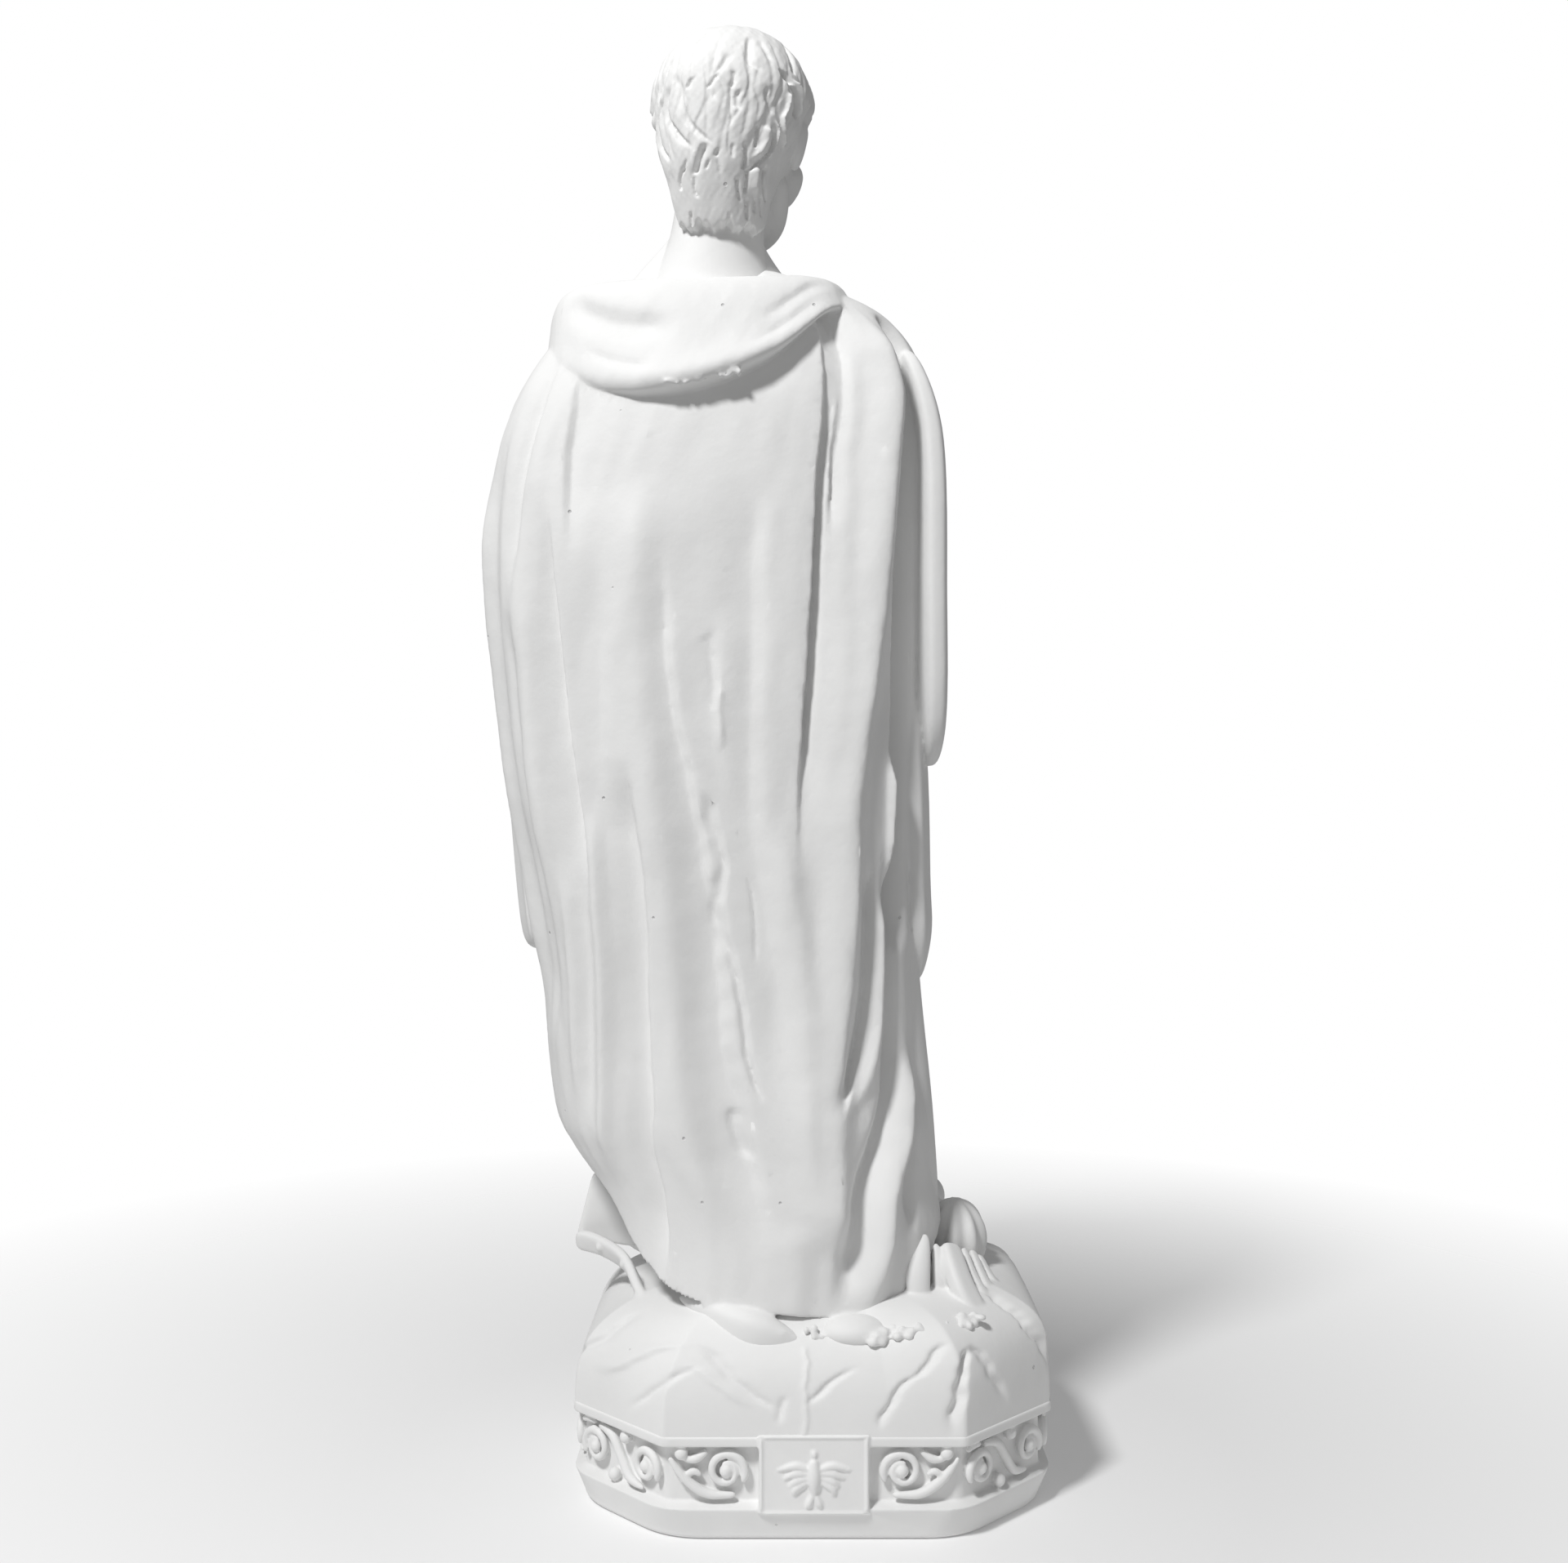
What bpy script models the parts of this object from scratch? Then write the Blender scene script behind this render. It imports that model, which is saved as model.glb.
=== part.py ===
"""Plaster statue of a young Roman soldier saint on a chamfered plinth, cast in one piece.

The figure faces -Y, its left hand is on the +X side, and Z is up. The origin is the middle of the
plinth's underside. Sizes are in metres. The figure and what lies at its feet are laid out in
figure parts: 1/341 of the figure's height, counted up from the soles.
"""

import math

import bmesh
import bpy
import numpy as np
from mathutils import Vector

# Plinth, in metres
PLINTH_WIDTH = 0.126
PLINTH_DEPTH = 0.106
PLINTH_CORNER = 0.0250
BAND_HEIGHT = 0.0085
FRIEZE_HEIGHT = 0.0150
CAP_HEIGHT = 0.0030
FRIEZE_RECESS = 0.0024
LEDGE_SLOPE = 0.0012
FOOT_ROUNDING = 0.0018
BAND_TAPER = 0.0020
FOOT_CORNER = 0.0220
SHELF_CORNER = 0.0140
FRIEZE_CORNER = 0.0040
PANEL_WIDTH = 0.0275
PANEL_PROUD = 0.0006
SCROLL_STEM = 0.0010
SCROLL_PROUD = 0.0008

# Rocky mound and figure, in metres
MOUND_HEIGHT = 0.0310
MOUND_INSET = 0.0004
MOUND_SINK = 0.0018
CRACK_DEPTH = 0.0014
FIGURE_HEIGHT = 0.3410

# Fineness of the carved solid
FIGURE_VOXEL = 0.0010
FIGURE_TRIANGLES = 4400
HEAD_VOXEL = 0.0008
HEAD_TRIANGLES = 1800

PLINTH_HEIGHT = BAND_HEIGHT + FRIEZE_HEIGHT + CAP_HEIGHT
SOLE_HEIGHT = PLINTH_HEIGHT + MOUND_HEIGHT
PART = FIGURE_HEIGHT / 341
PLASTER = (0.83, 0.83, 0.82, 1.0)


def clear_scene():
    for obj in list(bpy.data.objects):
        bpy.data.objects.remove(obj, do_unlink=True)


def new_collection(name):
    collection = bpy.data.collections.new(name)
    bpy.context.scene.collection.children.link(collection)
    return collection


def plaster_material():
    material = bpy.data.materials.new("plaster")
    material.use_nodes = True
    shader = material.node_tree.nodes["Principled BSDF"]
    shader.inputs["Base Color"].default_value = PLASTER
    shader.inputs["Roughness"].default_value = 0.75
    shader.inputs["Metallic"].default_value = 0.0
    return material


# Curves through a few points, and ridges and grooves laid along them


def through(rows, share):
    """Smooth curve through the rows of a table, for a share from 0 to 1."""
    rows = np.asarray(rows, float)
    last = len(rows) - 1
    place = np.clip(np.asarray(share, float), 0, 1) * last
    index = np.minimum(place.astype(int), last - 1)
    t = (place - index)[..., None]
    before, start = rows[np.maximum(index - 1, 0)], rows[index]
    end, after = rows[index + 1], rows[np.minimum(index + 2, last)]
    bend = 2 * before - 5 * start + 4 * end - after
    twist = 3 * start - before - 3 * end + after
    return 0.5 * (2 * start + (end - before) * t + bend * t * t + twist * t ** 3)


def eased(share):
    share = np.clip(share, 0, 1)
    return share * share * (3 - 2 * share)


def relief(strokes, across, up):
    """Height of long strokes that run from top to bottom.

    A stroke is (path, height, width to the left, width to the right, fade); its path is a list of
    (across, up) from top to bottom, and it dies away over the fade length at its ends.
    """
    total = np.zeros_like(up)
    for path, height, wide_left, wide_right, fade in strokes:
        line = through(path, np.linspace(0, 1, 24))
        order = np.argsort(line[:, 1])
        middle = np.interp(up, line[order, 1], line[order, 0])
        offset = across - middle
        width = np.where(offset > 0, wide_left, wide_right)
        low, high = line[:, 1].min(), line[:, 1].max()
        ends = eased((up - low) / fade) * eased((high - up) / fade)
        total += height * ends * np.exp(-((offset / width) ** 2))
    return total


# Solids: a grid rolled into a closed tube, and what is made from it


def finish_mesh(bm, name, collection):
    mesh = bpy.data.meshes.new(name)
    bm.to_mesh(mesh)
    bm.free()
    obj = bpy.data.objects.new(name, mesh)
    collection.objects.link(obj)
    return obj


def rolled(name, collection, around, up, place):
    """Rolls a flat grid into a closed form: place(t, s) gives the points around and along it."""
    bm = bmesh.new()
    bmesh.ops.create_grid(bm, x_segments=around, y_segments=up, size=0.5)
    flat = np.array([vert.co[:] for vert in bm.verts])
    points = place(flat[:, 0] + 0.5, flat[:, 1] + 0.5)
    for vert, point in zip(bm.verts, points):
        vert.co = point
    bmesh.ops.remove_doubles(bm, verts=bm.verts, dist=2e-6)
    rims = [edge for edge in bm.edges if edge.is_boundary]
    if rims:
        bmesh.ops.holes_fill(bm, edges=rims, sides=0)
    bmesh.ops.recalc_face_normals(bm, faces=bm.faces)
    return finish_mesh(bm, name, collection)


def to_world(x, y, z):
    """Figure parts to metres."""
    return np.stack([x * PART, y * PART, SOLE_HEIGHT + z * PART], axis=-1)


def limb(name, collection, spine, radii, wide=1.0, thick=1.0, side=(1, 0, 0), around=14, up=18,
         blunt=6.0, square=2.0, wave=None):
    """A rounded solid along a smooth spine in figure parts.

    Its section is an oval, wide times the radius along the side direction and thick times it across.
    square sets how square the section is, and blunt how square the ends are. wave(a, s) lifts the
    section, for cloth and feathers.
    """
    spine = np.asarray(spine, float)
    radii = np.asarray(radii, float)[:, None]

    def place(t, s):
        turn = t * 2 * np.pi
        centre = through(spine, s)
        ahead = through(spine, s + 0.01) - through(spine, s - 0.01)
        ahead /= np.linalg.norm(ahead, axis=-1, keepdims=True)
        cross = np.cross(ahead, np.asarray(side, float))
        cross /= np.linalg.norm(cross, axis=-1, keepdims=True)
        along = np.cross(cross, ahead)
        end = np.sqrt(np.clip(1 - np.abs(2 * s - 1) ** blunt, 0, 1))
        radius = through(radii, s)[..., 0] * end
        b, a = oval(turn, 1.0, 1.0, square)
        b = b * thick * radius
        if wave is not None:
            b = b + wave(a, s) * end
        points = centre + along * (a * wide * radius)[..., None] + cross * b[..., None]
        return to_world(points[..., 0], points[..., 1], points[..., 2])

    return rolled(name, collection, around, up, place)


def ball(name, collection, centre, radii, around=20, up=14, shape=None):
    """An egg of the given centre and radii in figure parts; shape(points) may push it about."""

    def place(t, s):
        turn, rise = t * 2 * np.pi, (s - 0.5) * np.pi
        unit = np.stack([np.cos(rise) * np.cos(turn), np.cos(rise) * np.sin(turn), np.sin(rise)], -1)
        points = np.asarray(centre, float) + unit * np.asarray(radii, float)
        if shape is not None:
            points = shape(points, unit)
        return to_world(points[..., 0], points[..., 1], points[..., 2])

    return rolled(name, collection, around, up, place)


def oval(turn, half_wide, half_deep, square):
    """Point of a squared-off oval; turn is 0 at the back and grows towards the figure's left."""
    x = half_wide * np.sign(np.sin(turn)) * np.abs(np.sin(turn)) ** (2 / square)
    y = half_deep * np.sign(np.cos(turn)) * np.abs(np.cos(turn)) ** (2 / square)
    return x, y


# Cloak: rows of (height, left side, right side, back), and its folds as (degrees, height) paths

CLOAK_ROWS = [
    (-4, 54, -34, 40), (12, 56, -36, 39), (24, 60, -34, 38), (33, 66, -33.5, 37), (42, 70.5, -33, 36.5),
    (60, 73, -30, 35), (83, 75, -29, 34), (106, 78.5, -28.5, 33), (130, 83.5, -29, 32),
    (165, 87.8, -31, 31), (193, 90, -32, 30), (216, 89, -33, 28.5), (234, 84, -33.5, 26),
    (246, 78, -31, 22.5), (255, 71, -27, 19), (263, 60, -19, 15), (269, 46, -6, 11), (274, 34, 8, 6),
]
CLOAK_MIDDLE_Y = -2.0
CLOAK_SQUARE = 2.6
CLOAK_THICK = 6.5
CLOAK_OUTER = 0.72
CLOAK_FRONT = 24.0

BACK_FOLDS = [
    ([(53, 250), (51, 219), (57, 185)], -1.8, 5, 3, 14),
    ([(38, 246), (33, 225), (30, 200)], -1.7, 2, 8, 14),
    ([(37, 190), (36, 152), (35, 100)], -3.8, 9, 2, 12),
    ([(50, 196), (51, 150), (55, 95)], 1.6, 7, 7, 20),
    ([(21, 190), (25, 144), (29, 104)], -2.0, 9, 4, 20),
    ([(29, 128), (33, 74), (37, 46), (47, 24)], 1.9, 4, 4, 16),
    ([(38, 112), (41, 70), (45, 40)], -1.5, 4, 4, 16),
    ([(17, 140), (17, 102), (19, 79), (21, 47), (31, 19), (35, 0)], -3.6, 8, 2.2, 22),
    ([(11, 216), (10, 165), (9, 118), (10, 70), (12, 12)], 2.0, 6, 5, 20),
    ([(6, 196), (6, 160), (3, 130), (1.5, 100), (1, 60), (0, 42), (2, 8)], -2.8, 7, 2, 30),
    ([(-8, 216), (-7, 160), (-6, 120), (-10, 78), (-14, 44)], -1.6, 7, 3, 24),
    ([(-13, 126), (-16, 83), (-15, 60), (-8, 16)], 1.8, 5, 4, 20),
    ([(-24.5, 300), (-24, 218), (-23.4, 182), (-18, 104)], -4.6, 1.8, 10, 44),
    ([(-31, 264), (-29.6, 245), (-29, 196)], -2.2, 1.6, 3, 16),
    ([(-38, 258), (-38, 214), (-36, 160), (-30, 120)], -1.2, 4, 5, 20),
    ([(-46, 262), (-47, 228), (-43, 180), (-35, 130), (-33, 100), (-25, 59), (-14, 8)], 4.0, 9, 6, 14),
    ([(-64, 262), (-60, 228), (-60, 176), (-62, 135), (-60, 104), (-57, 86)], -10.0, 5, 7, 10),
    ([(-54, 142), (-55, 112), (-53, 84)], 3.0, 2.4, 3, 12),
    ([(-45, 112), (-43, 83), (-36, 62), (-21, 43)], -3.2, 5, 1.8, 12),
    ([(-49, 104), (-46, 73), (-37, 55), (-27, 44)], 2.0, 2.4, 4.5, 12),
    ([(-58, 116), (-54, 77), (-51, 54), (-39, 37), (-25, 19), (-18, -6)], -4.6, 5, 4, 16),
    ([(-62, 62), (-56, 44), (-45, 31), (-34, 15), (-28, -8)], 2.8, 5, 4, 16),
    ([(-64, 54), (-56, 34), (-47, 12)], -3.0, 3.5, 3, 10),
    ([(70, 232), (76, 150), (70, 60)], -2.0, 9, 9, 24),
    ([(84, 220), (86, 150), (82, 70)], 2.2, 7, 7, 24),
    ([(96, 220), (97, 150), (98, 70)], -3.2, 6, 6, 24),
    ([(-80, 230), (-84, 150), (-80, 60)], -3.0, 6, 6, 24),
]
HEM_LIFTS = [(-100, 20), (-68, 12), (-56, 3), (-48, -1), (-36, -3), (-24, -2), (-8, -1.5), (3, 0), (15, 1),
             (25, 2.5), (34, 5), (44, 10), (52, 16), (60, 26), (75, 34), (110, 40)]
HEM_REACH = 100.0


def cloak_place(inset=0.0):
    def place(t, s):
        low, high = CLOAK_ROWS[0][0], CLOAK_ROWS[-1][0]
        z = low + (high - low) * s
        edge_left, edge_right = math.radians(118), math.radians(-112)
        outer = t < CLOAK_OUTER
        run = np.where(outer, t / CLOAK_OUTER, 1 - (t - CLOAK_OUTER) / (1 - CLOAK_OUTER))
        turn = edge_right + (edge_left - edge_right) * run
        degrees = np.degrees(turn)
        lift = np.interp(degrees, *np.array(HEM_LIFTS, float).T) * np.clip(1 - (z - low) / HEM_REACH, 0, 1)
        z = z + lift
        rows = through(CLOAK_ROWS, np.linspace(0, 1, 160))
        left, right, back = (np.interp(z, rows[:, 0], rows[:, k]) for k in (1, 2, 3))
        depth = np.where(np.cos(turn) > 0, back - CLOAK_MIDDLE_Y, CLOAK_FRONT * np.clip(s * 6, 0.5, 1))
        inner = np.where(outer, 0, np.sin(np.pi * np.clip(run, 0, 1)) ** 0.3) * CLOAK_THICK + inset
        folds = relief(BACK_FOLDS, degrees, z)
        folds = np.where(outer, folds, np.minimum(folds, 0))
        folds = folds * np.clip((274 - z) / 14, 0, 1) * np.clip((118 - np.abs(degrees)) / 20, 0, 1)
        push = folds - inner
        x, y = oval(turn, (left - right) / 2 + push, np.maximum(depth + push, 2), CLOAK_SQUARE)
        return to_world((left + right) / 2 + x, CLOAK_MIDDLE_Y + y, z)

    return place


def make_cloak(collection):
    rolled("cloak", collection, 200, 90, cloak_place())

    def core(t, s):
        row = through([(-12, 9, 30, 18), (60, 20, 34, 17), (150, 27, 42, 16), (230, 26, 44, 15),
                       (262, 25, 26, 10)], s)
        x, y = oval(t * 2 * np.pi, row[..., 2], row[..., 3], 2.4)
        return to_world(row[..., 1] + x, 8 + y, row[..., 0])

    rolled("cloak_lining", collection, 48, 24, core)
    make_cowl(collection)
    make_flaps(collection)


COWL_ROWS = [
    # degrees, middle height, half height, out from the neck
    (-180, 243, 7, 30), (-120, 257, 6.5, 31), (-80, 265, 5.5, 31.5), (-50, 265, 6, 32),
    (-20, 257, 12.5, 33),
    (10, 252.5, 16.2, 34), (40, 252, 16.7, 38), (70, 256.5, 12, 43), (100, 257, 10, 41.5),
    (140, 248, 8, 34),
    (180, 243, 7, 30),
]
COWL_SQUARE = 2.9
COWL_FOLDS = [
    # path of (degrees, height from the middle), depth, width
    ([(70, 7), (42, 3), (14, 1)], -1.7, 3.6),
    ([(56, -4), (36, -8), (18, -10)], -0.7, 2.0),
    ([(-60, 2), (-40, 2), (-14, -1)], -0.9, 2.0),
]


def make_cowl(collection):
    """Rolled hood that lies round the neck and hangs in a lip over the back."""

    def place(t, s):
        degrees = -180 + 360 * s
        rows = np.array(COWL_ROWS, float)
        height, half, reach = (np.interp(degrees, rows[:, 0], rows[:, k]) for k in (1, 2, 3))
        turn = np.radians(degrees)
        section = t * 2 * np.pi
        rise, outward = oval(section, 1.0, 1.0, COWL_SQUARE)
        back = np.clip(np.cos(turn), 0, 1)
        lip = np.exp(-((rise + 0.86) / 0.34) ** 2) * back
        out = outward * (6.0 + 2.6 * lip) + rise * (-1.0 - 4.0 * back)
        for path, depth, width in COWL_FOLDS:
            line = through(path, np.linspace(0, 1, 16))
            order = np.argsort(line[:, 0])
            off = rise * half - np.interp(degrees, line[order, 0], line[order, 1])
            low, high = line[:, 0].min(), line[:, 0].max()
            ends = np.clip((degrees - low) / 12, 0, 1) * np.clip((high - degrees) / 12, 0, 1)
            out = out + depth * ends * np.exp(-((off / width) ** 2)) * (outward > 0)
        x = 25 + (reach + out) * np.sin(turn) * 0.98
        y = -3 + (reach * 0.66 + out) * np.cos(turn)
        return to_world(x, y, height + rise * half)

    rolled("cowl", collection, 40, 100, place)
    limb("shoulders", collection,
         [(27, -3, 244), (27.5, -2, 260), (27.2, -1, 271), (26.2, 0, 283), (25.4, 0, 290)],
         [36, 32, 23, 13.4, 11], 1.0, 0.4, around=40, up=36, blunt=14)
    ball("brooch", collection, (8, -26, 247), (6, 3, 6), 16, 10)


FLAPS = {
    # name: spine, radii, thickness, side, number of waves, their shift and depth, bluntness, squareness
    "left": ([(82, -12, 200), (81, -15, 150), (78.8, -15, 112), (76.8, -14, 84)], [13, 14, 13, 11], 0.34,
             (0.25, 1, 0), 5, 0.6, 1.6, 10, 2),
    "left_inner": ([(66, -24, 192), (64, -27, 150), (62, -26, 104)], [12, 13, 10], 0.4,
                   (1, -0.5, 0), 5, 0, 1.6, 10, 2),
    "right_outer": ([(-25, 0, 252), (-31.2, 1, 226), (-31.9, 1, 180), (-32.2, 0, 152), (-32.2, -3, 137)],
                    [11, 15, 16, 15, 9], 0.24, (-0.1, 1, 0), 4, 1, 0.6, 8, 3.6),
    "right_inner": ([(-25, -3, 190), (-28.6, -2, 140), (-29.6, -2, 104), (-30.2, -2, 90), (-29, -3, 76)],
                    [11, 13, 13, 12, 8], 0.27, (0.1, 1, 0), 5, -0.7, 0.6, 8, 3.2),
    "right_low": ([(-24, 0, 112), (-26, 1, 74), (-29, 2, 40), (-32, 2, 6)], [10, 12, 13, 11], 0.36,
                  (0.1, 1, 0), 5, 2, 0.8, 8, 2.6),
    "hem_train": ([(34, 30, -3.5), (25, 36.5, -6), (15, 41, -8), (4, 43.5, -9.4)], [2.5, 4.6, 6, 4.6], 0.8,
                  (0, 0, 1), 2, 0, 0, 4, 2.6),
}


def make_flaps(collection):
    """Ends of the cloak that hang from the forearms as thick waved strips, and its trailing hem."""
    for name, (spine, radii, thick, side, count, shift, depth, blunt, square) in FLAPS.items():
        wide = 0.75 if name == "hem_train" else 1.0
        limb(f"{name}_flap", collection, spine, radii, wide, thick, side, 30, 34, blunt, square,
             lambda a, s, count=count, shift=shift, depth=depth: depth * np.sin(a * count + shift))
    ball("rolled_fold", collection, (-10.8, 40.5, -8.6), (8.4, 6.2, 4.6), 28, 18)


# Armoured body, tunic and limbs


def make_torso(collection):
    rows = [(140, 20, -5, 27, 17), (165, 21, -5, 25, 17), (178, 22, -5, 24, 16.5),
            (198, 24, -6, 27, 18), (220, 25.5, -7, 31, 19.5), (238, 26, -6, 33, 18),
            (250, 26, -4, 30, 15), (260, 25.5, -2, 20, 12), (270, 25, 0, 13, 11.5)]
    muscles = [
        ([(180, 250), (180, 215), (180, 176)], -1.6, 3, 3, 8),
        ([(158, 240), (152, 225), (160, 214)], 1.6, 9, 9, 8),
        ([(-158, 240), (-152, 225), (-160, 214)], 1.6, 9, 9, 8),
        ([(168, 208), (168, 180)], 1.2, 6, 6, 8),
        ([(-168, 208), (-168, 180)], 1.2, 6, 6, 8),
    ]

    def place(t, s):
        row = through(rows, s)
        degrees = t * 360
        degrees = np.where(degrees > 180, degrees - 360, degrees)
        push = np.zeros_like(t)
        for path, height, left, right, fade in muscles:
            turned = np.where(path[0][0] < 0, degrees, np.where(degrees < 0, degrees + 360, degrees))
            push += relief([(path, height, left, right, fade)], turned, row[..., 0])
        x, y = oval(t * 2 * np.pi, row[..., 3] + push * 0.3, row[..., 4] + push, 2.3)
        return to_world(row[..., 1] + x, row[..., 2] + y, row[..., 0])

    rolled("cuirass", collection, 96, 60, place)

    def belt(t, s):
        turn, section = s * 2 * np.pi, t * 2 * np.pi
        out = 1.5 * np.cos(section)
        x, y = oval(turn, 26.0 + out, 18.2 + out, 2.3)
        return to_world(21.5 + x, -5 + y, 170 + 3.4 * np.sin(section))

    rolled("belt", collection, 12, 64, belt)
    ball("buckle", collection, (21.5, -24, 170), (4.2, 2, 4.2), 14, 8)

    def tunic(t, s):
        row = through([(172, 21, 25, 17), (150, 20.5, 27, 18.5), (128, 19.5, 30, 20),
                       (106, 18.5, 32, 21.5)], s)
        turn = t * 2 * np.pi
        wave = np.sin(turn * 13) * (0.3 + 1.3 * s)
        x, y = oval(turn, row[..., 2] + wave, row[..., 3] + wave, 2.2)
        return to_world(row[..., 1] + x, -6 + y, row[..., 0])

    rolled("tunic", collection, 130, 24, tunic)
    make_straps(collection)


def make_straps(collection):
    """Leather straps that hang from the belt over the tunic, and from the shoulder over the arm."""
    count = 11
    for i in range(count):
        turn = math.radians(180 + (i - (count - 1) / 2) * 15.5)
        x0, y0 = oval(np.array(turn), 26.5, 19.0, 2.3)
        x1, y1 = oval(np.array(turn), 31.0, 22.5, 2.3)
        side = (math.cos(turn), -math.sin(turn), 0)
        limb(f"strap_{i}", collection,
             [(21 + x0, -5.5 + y0, 171), (20.5 + x1 * 0.95, -6 + y1 * 0.95, 150), (20 + x1, -6 + y1, 132)],
             [3.5, 3.7, 3.6], 1.0, 0.42, side, 10, 12, 8)


def make_arms(collection):
    limb("left_upper_arm", collection, [(58, 0, 246), (70, -2, 224), (76, -4, 194)], [13, 12.5, 11],
         up=20, around=20)
    limb("left_forearm", collection, [(76, -2, 192), (73, -20, 187), (62, -37, 190), (56, -42, 193)],
         [10.5, 9.5, 7, 6.2], up=20, around=20, side=(0, 0, 1))
    limb("right_upper_arm", collection, [(-6, 0, 246), (-16, -3, 224), (-20, -6, 196)], [13, 12.5, 11],
         up=20, around=20)
    limb("right_forearm", collection, [(-20, -5, 194), (-19, -22, 196), (-10, -38, 206), (-5, -42, 212)],
         [10.5, 9.5, 7, 6.2], up=20, around=20, side=(0, 0, 1))
    make_hand(collection, "left", (51, -45, 197), (0.85, 0.25, -0.1), (-0.45, -0.35, 0.8))
    make_hand(collection, "right", (-1, -45, 218), (-0.85, 0.25, -0.1), (0.45, -0.35, 0.8))


def make_hand(collection, name, palm, knuckles, fingers_up):
    """A closed hand: a palm, four curled fingers round what it holds, and a thumb over them."""
    palm = Vector(palm)
    across = Vector(knuckles).normalized()
    up = Vector(fingers_up).normalized()
    out = across.cross(up).normalized()
    out = out if out.y < 0 else -out
    ball(f"{name}_palm", collection, palm, (7.2, 5.4, 7.4), 18, 12)
    for i in range(4):
        root = palm + up * (5.6 - 3.9 * i) + across * 4.5 + out * 1.5
        knuckle = root - across * 3 + out * 5.2
        tip = root - across * 9.5 + out * 3.4
        limb(f"{name}_finger_{i}", collection, [root, knuckle, tip], [2.3, 2.4, 1.9], up=12, around=10,
             side=tuple(up), blunt=5)
    root = palm + up * 5.0 - across * 3.0
    limb(f"{name}_thumb", collection, [root, root + up * 2.5 + out * 4,
                                       root + up * 1.0 + out * 7 + across * 4],
         [2.8, 2.6, 2.1], up=12, around=10, blunt=5)


def make_attributes(collection):
    """The small cross in the right hand and the palm leaf in the left, cast against the chest."""
    limb("cross_post", collection, [(-3, -51, 196), (-3, -51, 240), (-3, -51, 262)], [2.6, 2.6, 2.6],
         1, 0.8, blunt=16, around=12, up=16)
    limb("cross_arm", collection, [(-15, -51, 247), (-3, -51, 247), (9, -51, 247)], [2.6, 2.6, 2.6],
         1, 0.8, side=(0, 0, 1), blunt=16, around=12, up=16)
    limb("cross_rest", collection, [(-3, -48, 252), (1, -34, 248), (5, -22, 244)], [2.2, 3.2, 4],
         blunt=6, around=12, up=12)
    rib = np.array([(49, -50, 178), (52, -47, 208), (56, -38, 236), (60, -28, 256)], float)
    limb("palm_rib", collection, rib, [2.6, 2.6, 2.4, 1.6], around=10, up=24)
    for i in range(9):
        share = 0.36 + 0.07 * i
        foot = through(rib, np.array(share))
        reach = 13.0 * (1 - 0.45 * i / 8)
        for hand in (1, -1):
            tip = foot + np.array([hand * reach * 0.72, 3.0, reach])
            middle = foot + np.array([hand * reach * 0.5, 0.5, reach * 0.4])
            limb(f"palm_leaf_{i}_{hand + 1}", collection, [foot, middle, tip], [2.2, 2.3, 1.2],
                 1.0, 0.6, around=8, up=10, blunt=5)


def make_legs(collection):
    limb("left_leg", collection, [(30, -8, 122), (28, -11, 92), (26, -7, 62), (24, -7, 34), (24, -6, 8)],
         [13.5, 10.5, 10.8, 8, 6.8], around=22, up=30)
    limb("right_leg", collection, [(9, -9, 122), (2, -19, 94), (-6, -14, 66), (-11, -13, 42),
                                   (-14, -12, 20)],
         [13.5, 10.5, 10.8, 8, 6.8], around=22, up=30)
    for name, ankle, toe in (("left", (24, -4, 5), (29, -37, 3.4)),
                             ("right", (-14, -9, 18), (-19, -43, 12))):
        ankle, toe = np.array(ankle, float), np.array(toe, float)
        limb(f"{name}_foot", collection, [ankle + (0, 5, 0), ankle * 0.45 + toe * 0.55 + (0, 0, 1.5), toe],
             [7, 7.2, 6.2], 1.0, 0.8, around=20, up=20, blunt=4)
        limb(f"{name}_sole", collection, [ankle + (0, 6, -4.6), toe + (0, -1, -2.6)],
             [7.6, 7.8], 1.0, 0.3, around=16, up=12, blunt=6)
        shin = np.array([0.0, -1.0, 36.0])
        top = ankle + shin + (np.array([2.5, 0, 0]) if name == "right" else 0)

        def cuff(t, s, top=top):
            turn, section = s * 2 * np.pi, t * 2 * np.pi
            out = 10.6 + 1.7 * np.cos(section)
            return to_world(top[0] + out * np.sin(turn), top[1] - 3 + out * np.cos(turn),
                            top[2] + 3.2 * np.sin(section))

        rolled(f"{name}_boot_cuff", collection, 10, 28, cuff)


# Head and hair

HEAD = (21.3, -3.0, 311.0)
HEAD_TURN = math.radians(-12)


def head_point(x, y, z):
    """Place of a point given from the head's own middle, with its face towards -Y."""
    turned_x = x * math.cos(HEAD_TURN) - y * math.sin(HEAD_TURN)
    turned_y = x * math.sin(HEAD_TURN) + y * math.cos(HEAD_TURN)
    return (HEAD[0] + turned_x, HEAD[1] + turned_y, HEAD[2] + z)


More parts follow.
